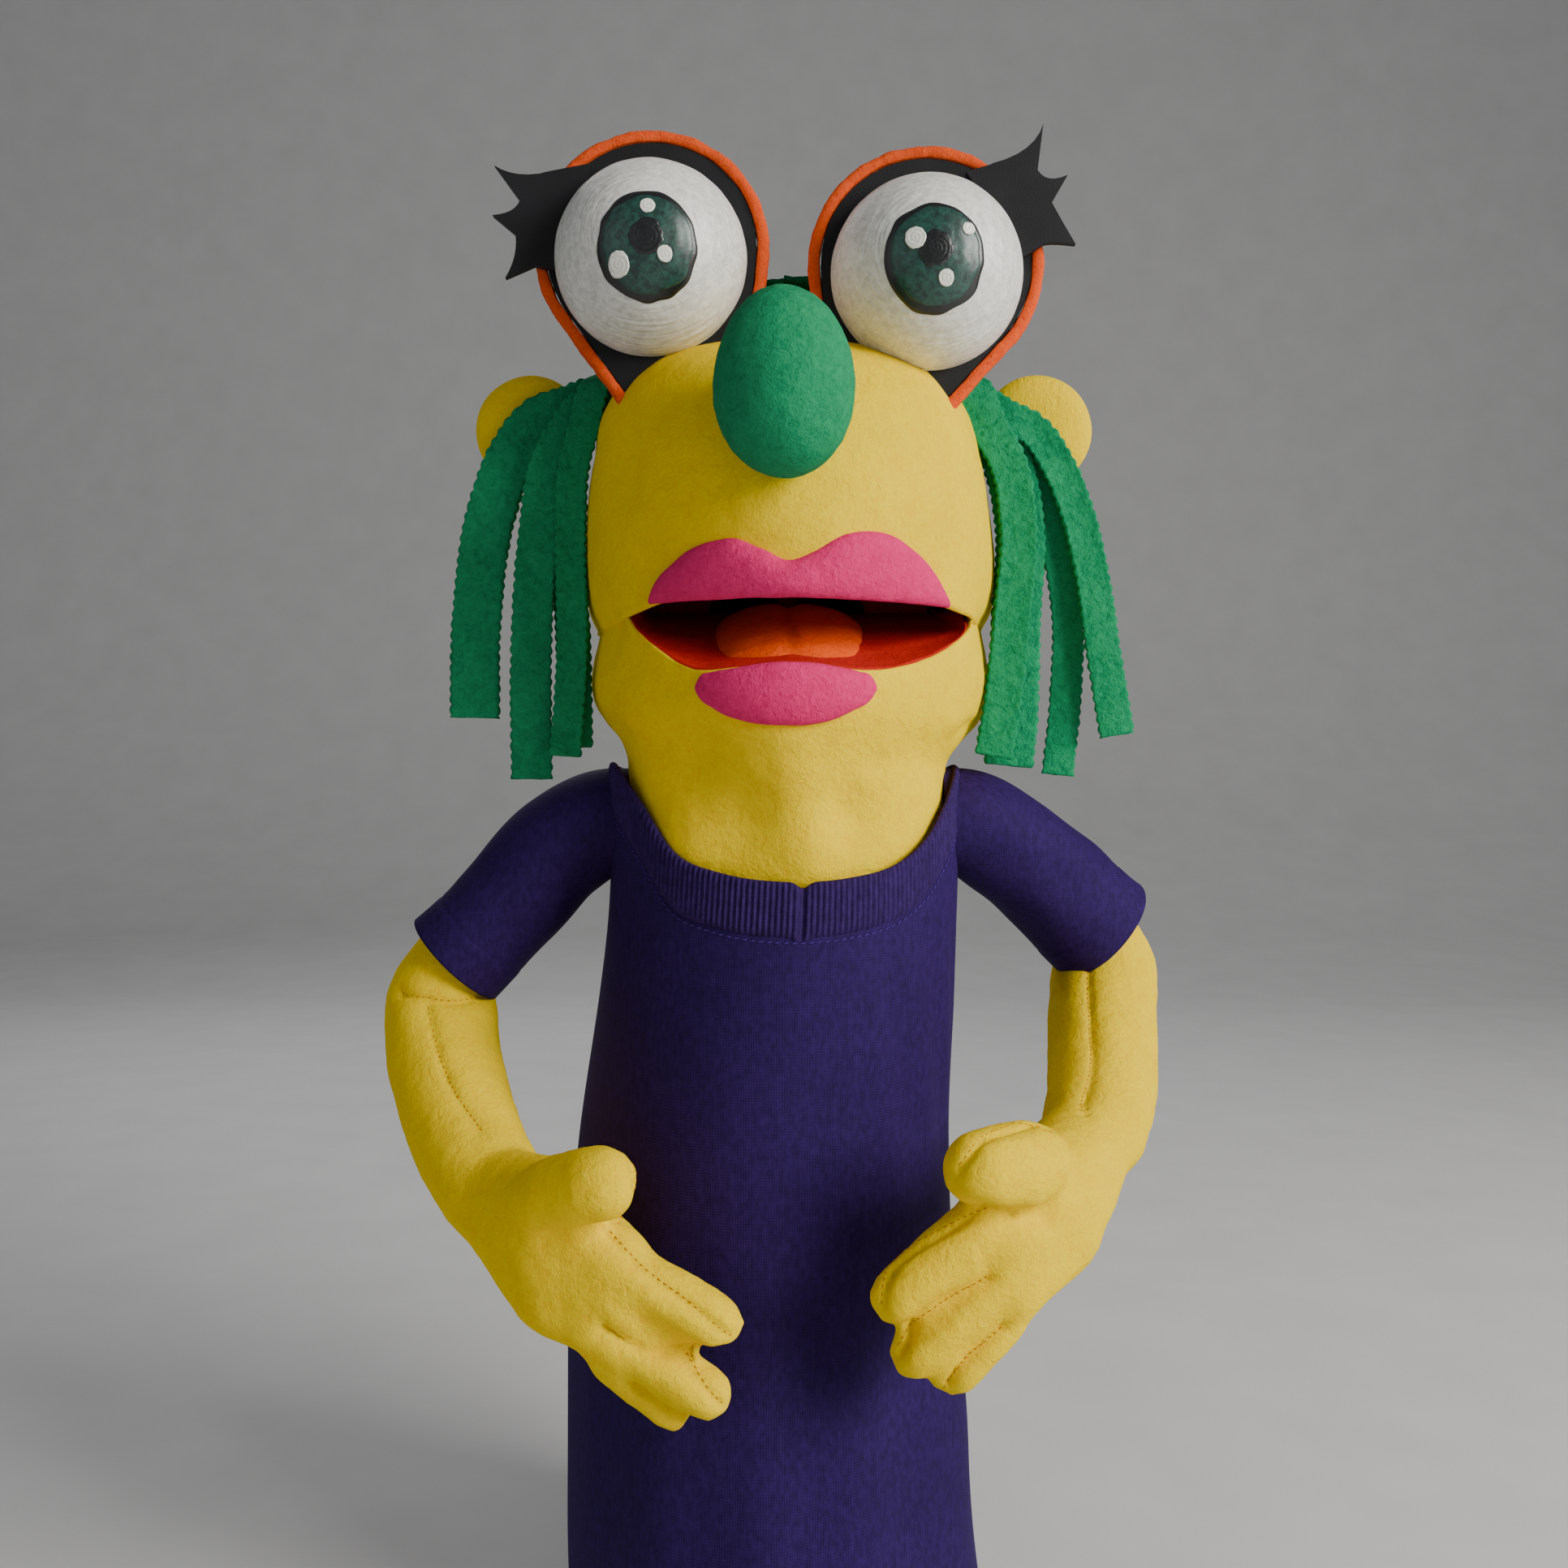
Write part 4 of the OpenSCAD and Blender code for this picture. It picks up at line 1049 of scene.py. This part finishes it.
LASH = {  # outline round three spikes: (point, bend towards), from the eye's centre
    "left": [((12, 31), None), ((20, 33.5), (29, 36)), ((36, 46), (33.5, 37)), ((34.2, 31.5), None), ((43.5, 30), (37, 27)),
             ((38.6, 21.5), None), ((46, 8.5), (41, 17)), ((36, 8.6), (38, 9.5)), ((29, 4), None), ((22, 16), None)],
    "right": [((19, 29), None), ((31, 26.5), (40, 25)), ((48.5, 28.5), (42, 24)), ((40.5, 17.5), None), ((49, 13), (42, 13.5)),
              ((41.8, 7.0), None), ((45, -6.5), (41, 0)), ((36, -2.6), (38, -3.5)), ((29.5, -4), None), ((21, 12), None)],
}


def lash_outline(side):
    pts = LASH[side]
    out = []
    for (p, _), (q, bend) in zip(pts, pts[1:] + pts[:1]):
        p, q = np.array(p, float), np.array(q, float)
        mid = np.array(bend, float) if bend else (p + q) / 2
        for t in np.linspace(0, 1, 7)[:-1]:
            out.append((1 - t) ** 2 * p + 2 * t * (1 - t) * mid + t * t * q)
    return np.array(out)


for side, s in SIDES.items():
    o = lash_outline(side) * (s, 1)
    cx, _, cz = EYE[side]
    y0 = EYE_Y - 2.4 - 1.2
    layers = []
    centre = o.mean(0)
    bm = bmesh.new()
    vs = [bm.verts.new(((cx + p[0]) * MM, (y0 + 2.4) * MM, (cz + p[1]) * MM)) for p in o]
    face = bm.faces.new(vs)
    made = bmesh.ops.extrude_face_region(bm, geom=[face])
    for v in (g for g in made["geom"] if isinstance(g, bmesh.types.BMVert)):
        v.co.y -= 2.4 * MM
    bmesh.ops.recalc_face_normals(bm, faces=bm.faces)
    mesh = bpy.data.meshes.new(f"lashes_{side}")
    bm.to_mesh(mesh)
    bm.free()
    lash = bpy.data.objects.new(f"lashes_{side}", mesh)
    bpy.context.scene.collection.objects.link(lash)
    mesh.materials.append(BLACK_FOAM)
    mod = lash.modifiers.new("edge", "BEVEL")
    mod.width, mod.segments, mod.limit_method = 0.35 * MM, 2, "ANGLE"
    final(lash)
    lash.data.shade_flat()
    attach(lash, "head")
    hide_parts(f"lash_{side}")

# ---------------------------------------------------------------- hair

STRIPS = {
    "left": {
        "inner": (16, -4.5, [(74.5, 287), (75.7, 299), (77, 336), (78, 367), (74, 387), (68, 399.5)]),
        "middle": (10, -1.5, [(91.3, 284), (94, 312), (94, 341), (89.5, 364), (81.5, 384), (71, 400)]),
        "outer": (11, -7.5, [(109.6, 297), (105.6, 321), (101, 352), (96, 372.5), (90, 387), (82, 398), (72, 403)]),
        "back": (12, -10.5, [(68.5, 290), (70.5, 301), (74.8, 336), (76.8, 367), (73.5, 386), (67, 398)]),
    },
    "right": {
        "inner": (11, -4.5, [(-69, 293), (-70, 330), (-72.6, 366), (-71.4, 385), (-67, 399)]),
        "middle": (13, -7.5, [(-83.2, 282.6), (-83.2, 325), (-80.6, 365), (-77.5, 385), (-70, 400)]),
        "outer": (16, -1.5, [(-103, 303), (-102.3, 336), (-97, 374), (-90, 392), (-81.5, 402.5), (-71.5, 406)]),
        "back": (10, -10.5, [(-71.5, 290), (-69.4, 326), (-70, 366), (-68.8, 386), (-65.5, 398)]),
    },
}
CROWN_Y = {"inner": -2, "middle": 10, "outer": 22, "back": 31}
CROWN_LO, CROWN_HI = corners("hair_crown")
SCALLOP = 3.5

# The strips lie across the head on a gathered green band
skull = BVHTree.FromPolygons([tuple(p) for p in coords(upper)], [tuple(f.vertices) for f in upper.data.polygons])
xs = 58 * np.sin(np.linspace(-np.pi / 2, np.pi / 2, 90))
ys = np.linspace(CROWN_LO[1] + 1, CROWN_HI[1] - 1, 48)
height = np.array([[skull.ray_cast(Vector((x, y, 600)), Vector((0, 0, -1)))[0].z for x in xs] for y in ys])
across = np.linspace(-1, 1, len(ys))[:, None]
pad = 6.4 * (1 - np.abs(across) ** 4) ** 0.5 + 0.5 * np.cos(ys[:, None] * 0.62) * (1 - across**2)
flat_x, flat_y = np.meshgrid(xs, ys)
over = np.stack([flat_x, flat_y, height + pad], -1)
under = np.stack([flat_x, flat_y, height - 0.6], -1)
crown = grid("hair_band", np.concatenate([over, under[::-1]]), GREEN)
uneven(crown, 0.4, 6, 90)
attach(crown, "head")
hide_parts("hair_crown")

for side, s in SIDES.items():
    for k, (name, (width, y, path)) in enumerate(STRIPS[side].items()):
        yc = CROWN_Y[name]
        rise = 0.7 * k
        hang = [(x, y, z) for x, z in path]
        over = [(s * 62, y * 0.8, 409 + rise), (s * 53, y * 0.3 + yc * 0.2, 420 + rise), (s * 42, yc * 0.6, 432 + rise),
                (s * 28, yc * 0.85, 441.5 + rise), (s * 13, yc, 446.4 + rise), (0, yc, 447.4 + rise)]
        pts = np.array(hang + over, float)
        total = np.linalg.norm(np.diff(pts, axis=0), axis=1).sum()
        n = int(total / 0.9)
        centre = through(pts, n)
        tangent = unit(np.gradient(centre, axis=0))
        # Hanging and in its arch a strip shows its flat side to the front; on the head it lies flat
        lying = (1 - step(54, 66, np.abs(centre[:, 0])))[:, None]
        facing = np.stack([tangent[:, 2], 0 * tangent[:, 0], -tangent[:, 0]], -1)
        wide = unit((1 - lying) * facing + lying * np.array([0.0, s, 0.0]))
        wide = unit(wide - (wide * tangent).sum(1, keepdims=True) * tangent)
        flat = np.cross(tangent, wide)
        run = np.linspace(0, total, n)
        v = np.linspace(-1, 1, 13)[None, :]
        half = width / 2 + 0.45
        tooth = 0.8 * np.abs(np.sin(np.pi * (run / SCALLOP + 0.37 * k)))[:, None]
        reach = half * v - np.sign(v) * (0.9 - tooth) * (np.abs(v) ** 4)
        curl = 0.06 * width * (v**2 - 0.4) * np.sin(run / 31 + k)[:, None]
        sway = 0.8 * np.sin(run / 23 + 1.7 * k)[:, None]
        rows = (centre[:, None, :] + reach[..., None] * wide[:, None, :] + (curl + sway)[..., None] * flat[:, None, :])
        strip = grid(f"hair_strip_{side}_{name}", rows, GREEN)
        uneven(strip, 0.35, 2.4, 91 + 4 * s + k)
        thicken(strip, 2.0, 0)
        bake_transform(strip)
        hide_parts(f"hair_{side}_{name}")

# ---------------------------------------------------------------- floor, lights, camera

n = Nodes("studio_floor")
tone = n.ramp(n.noise(60, 2), [(0.3, (0.62, 0.62, 0.62)), (0.7, (0.66, 0.66, 0.66))])
n.bump((n.noise(1.2, 2), 0.05, 0.2))
floor_mat = n.done(tone, Roughness=0.8)
sweep = [(-3000, 0), (1500, 0), (1900, 40), (2250, 190), (2500, 440), (2640, 800), (2680, 1300), (2690, 6000)]
floor = grid("floor", [[(x, y, z) for x in (-30000, 30000)] for y, z in sweep], floor_mat)

world = bpy.data.worlds.new("studio")
bpy.context.scene.world = world
world.use_nodes = True
world.node_tree.nodes["Background"].inputs["Color"].default_value = (0.86, 0.87, 0.88, 1)
world.node_tree.nodes["Background"].inputs["Strength"].default_value = 0.22


def light(name, at, aim, size, watts, colour=(1, 1, 1)):
    data = bpy.data.lights.new(name, "AREA")
    data.size, data.energy, data.color = size, watts, colour
    obj = bpy.data.objects.new(name, data)
    obj.location = at
    obj.rotation_euler = (Vector(aim) - Vector(at)).to_track_quat("-Z", "Y").to_euler()
    bpy.context.scene.collection.objects.link(obj)


light("window", (1.25, -0.85, 0.85), (0, 0, 0.3), 0.8, 35, (1, 0.98, 0.94))
light("fill", (-1.0, -1.2, 0.6), (0, 0, 0.28), 1.2, 2, (0.95, 0.97, 1))
light("back", (-0.4, 1.2, 1.2), (0, 0, 0.3), 1.0, 6)

camera = bpy.data.objects.new("camera", bpy.data.cameras.new("camera"))
camera.data.lens, camera.data.sensor_width = 34.3, 36
camera.location = (0, -0.5, 0.281)
camera.rotation_euler = (math.pi / 2, 0, 0)
bpy.context.scene.collection.objects.link(camera)
bpy.context.scene.camera = camera
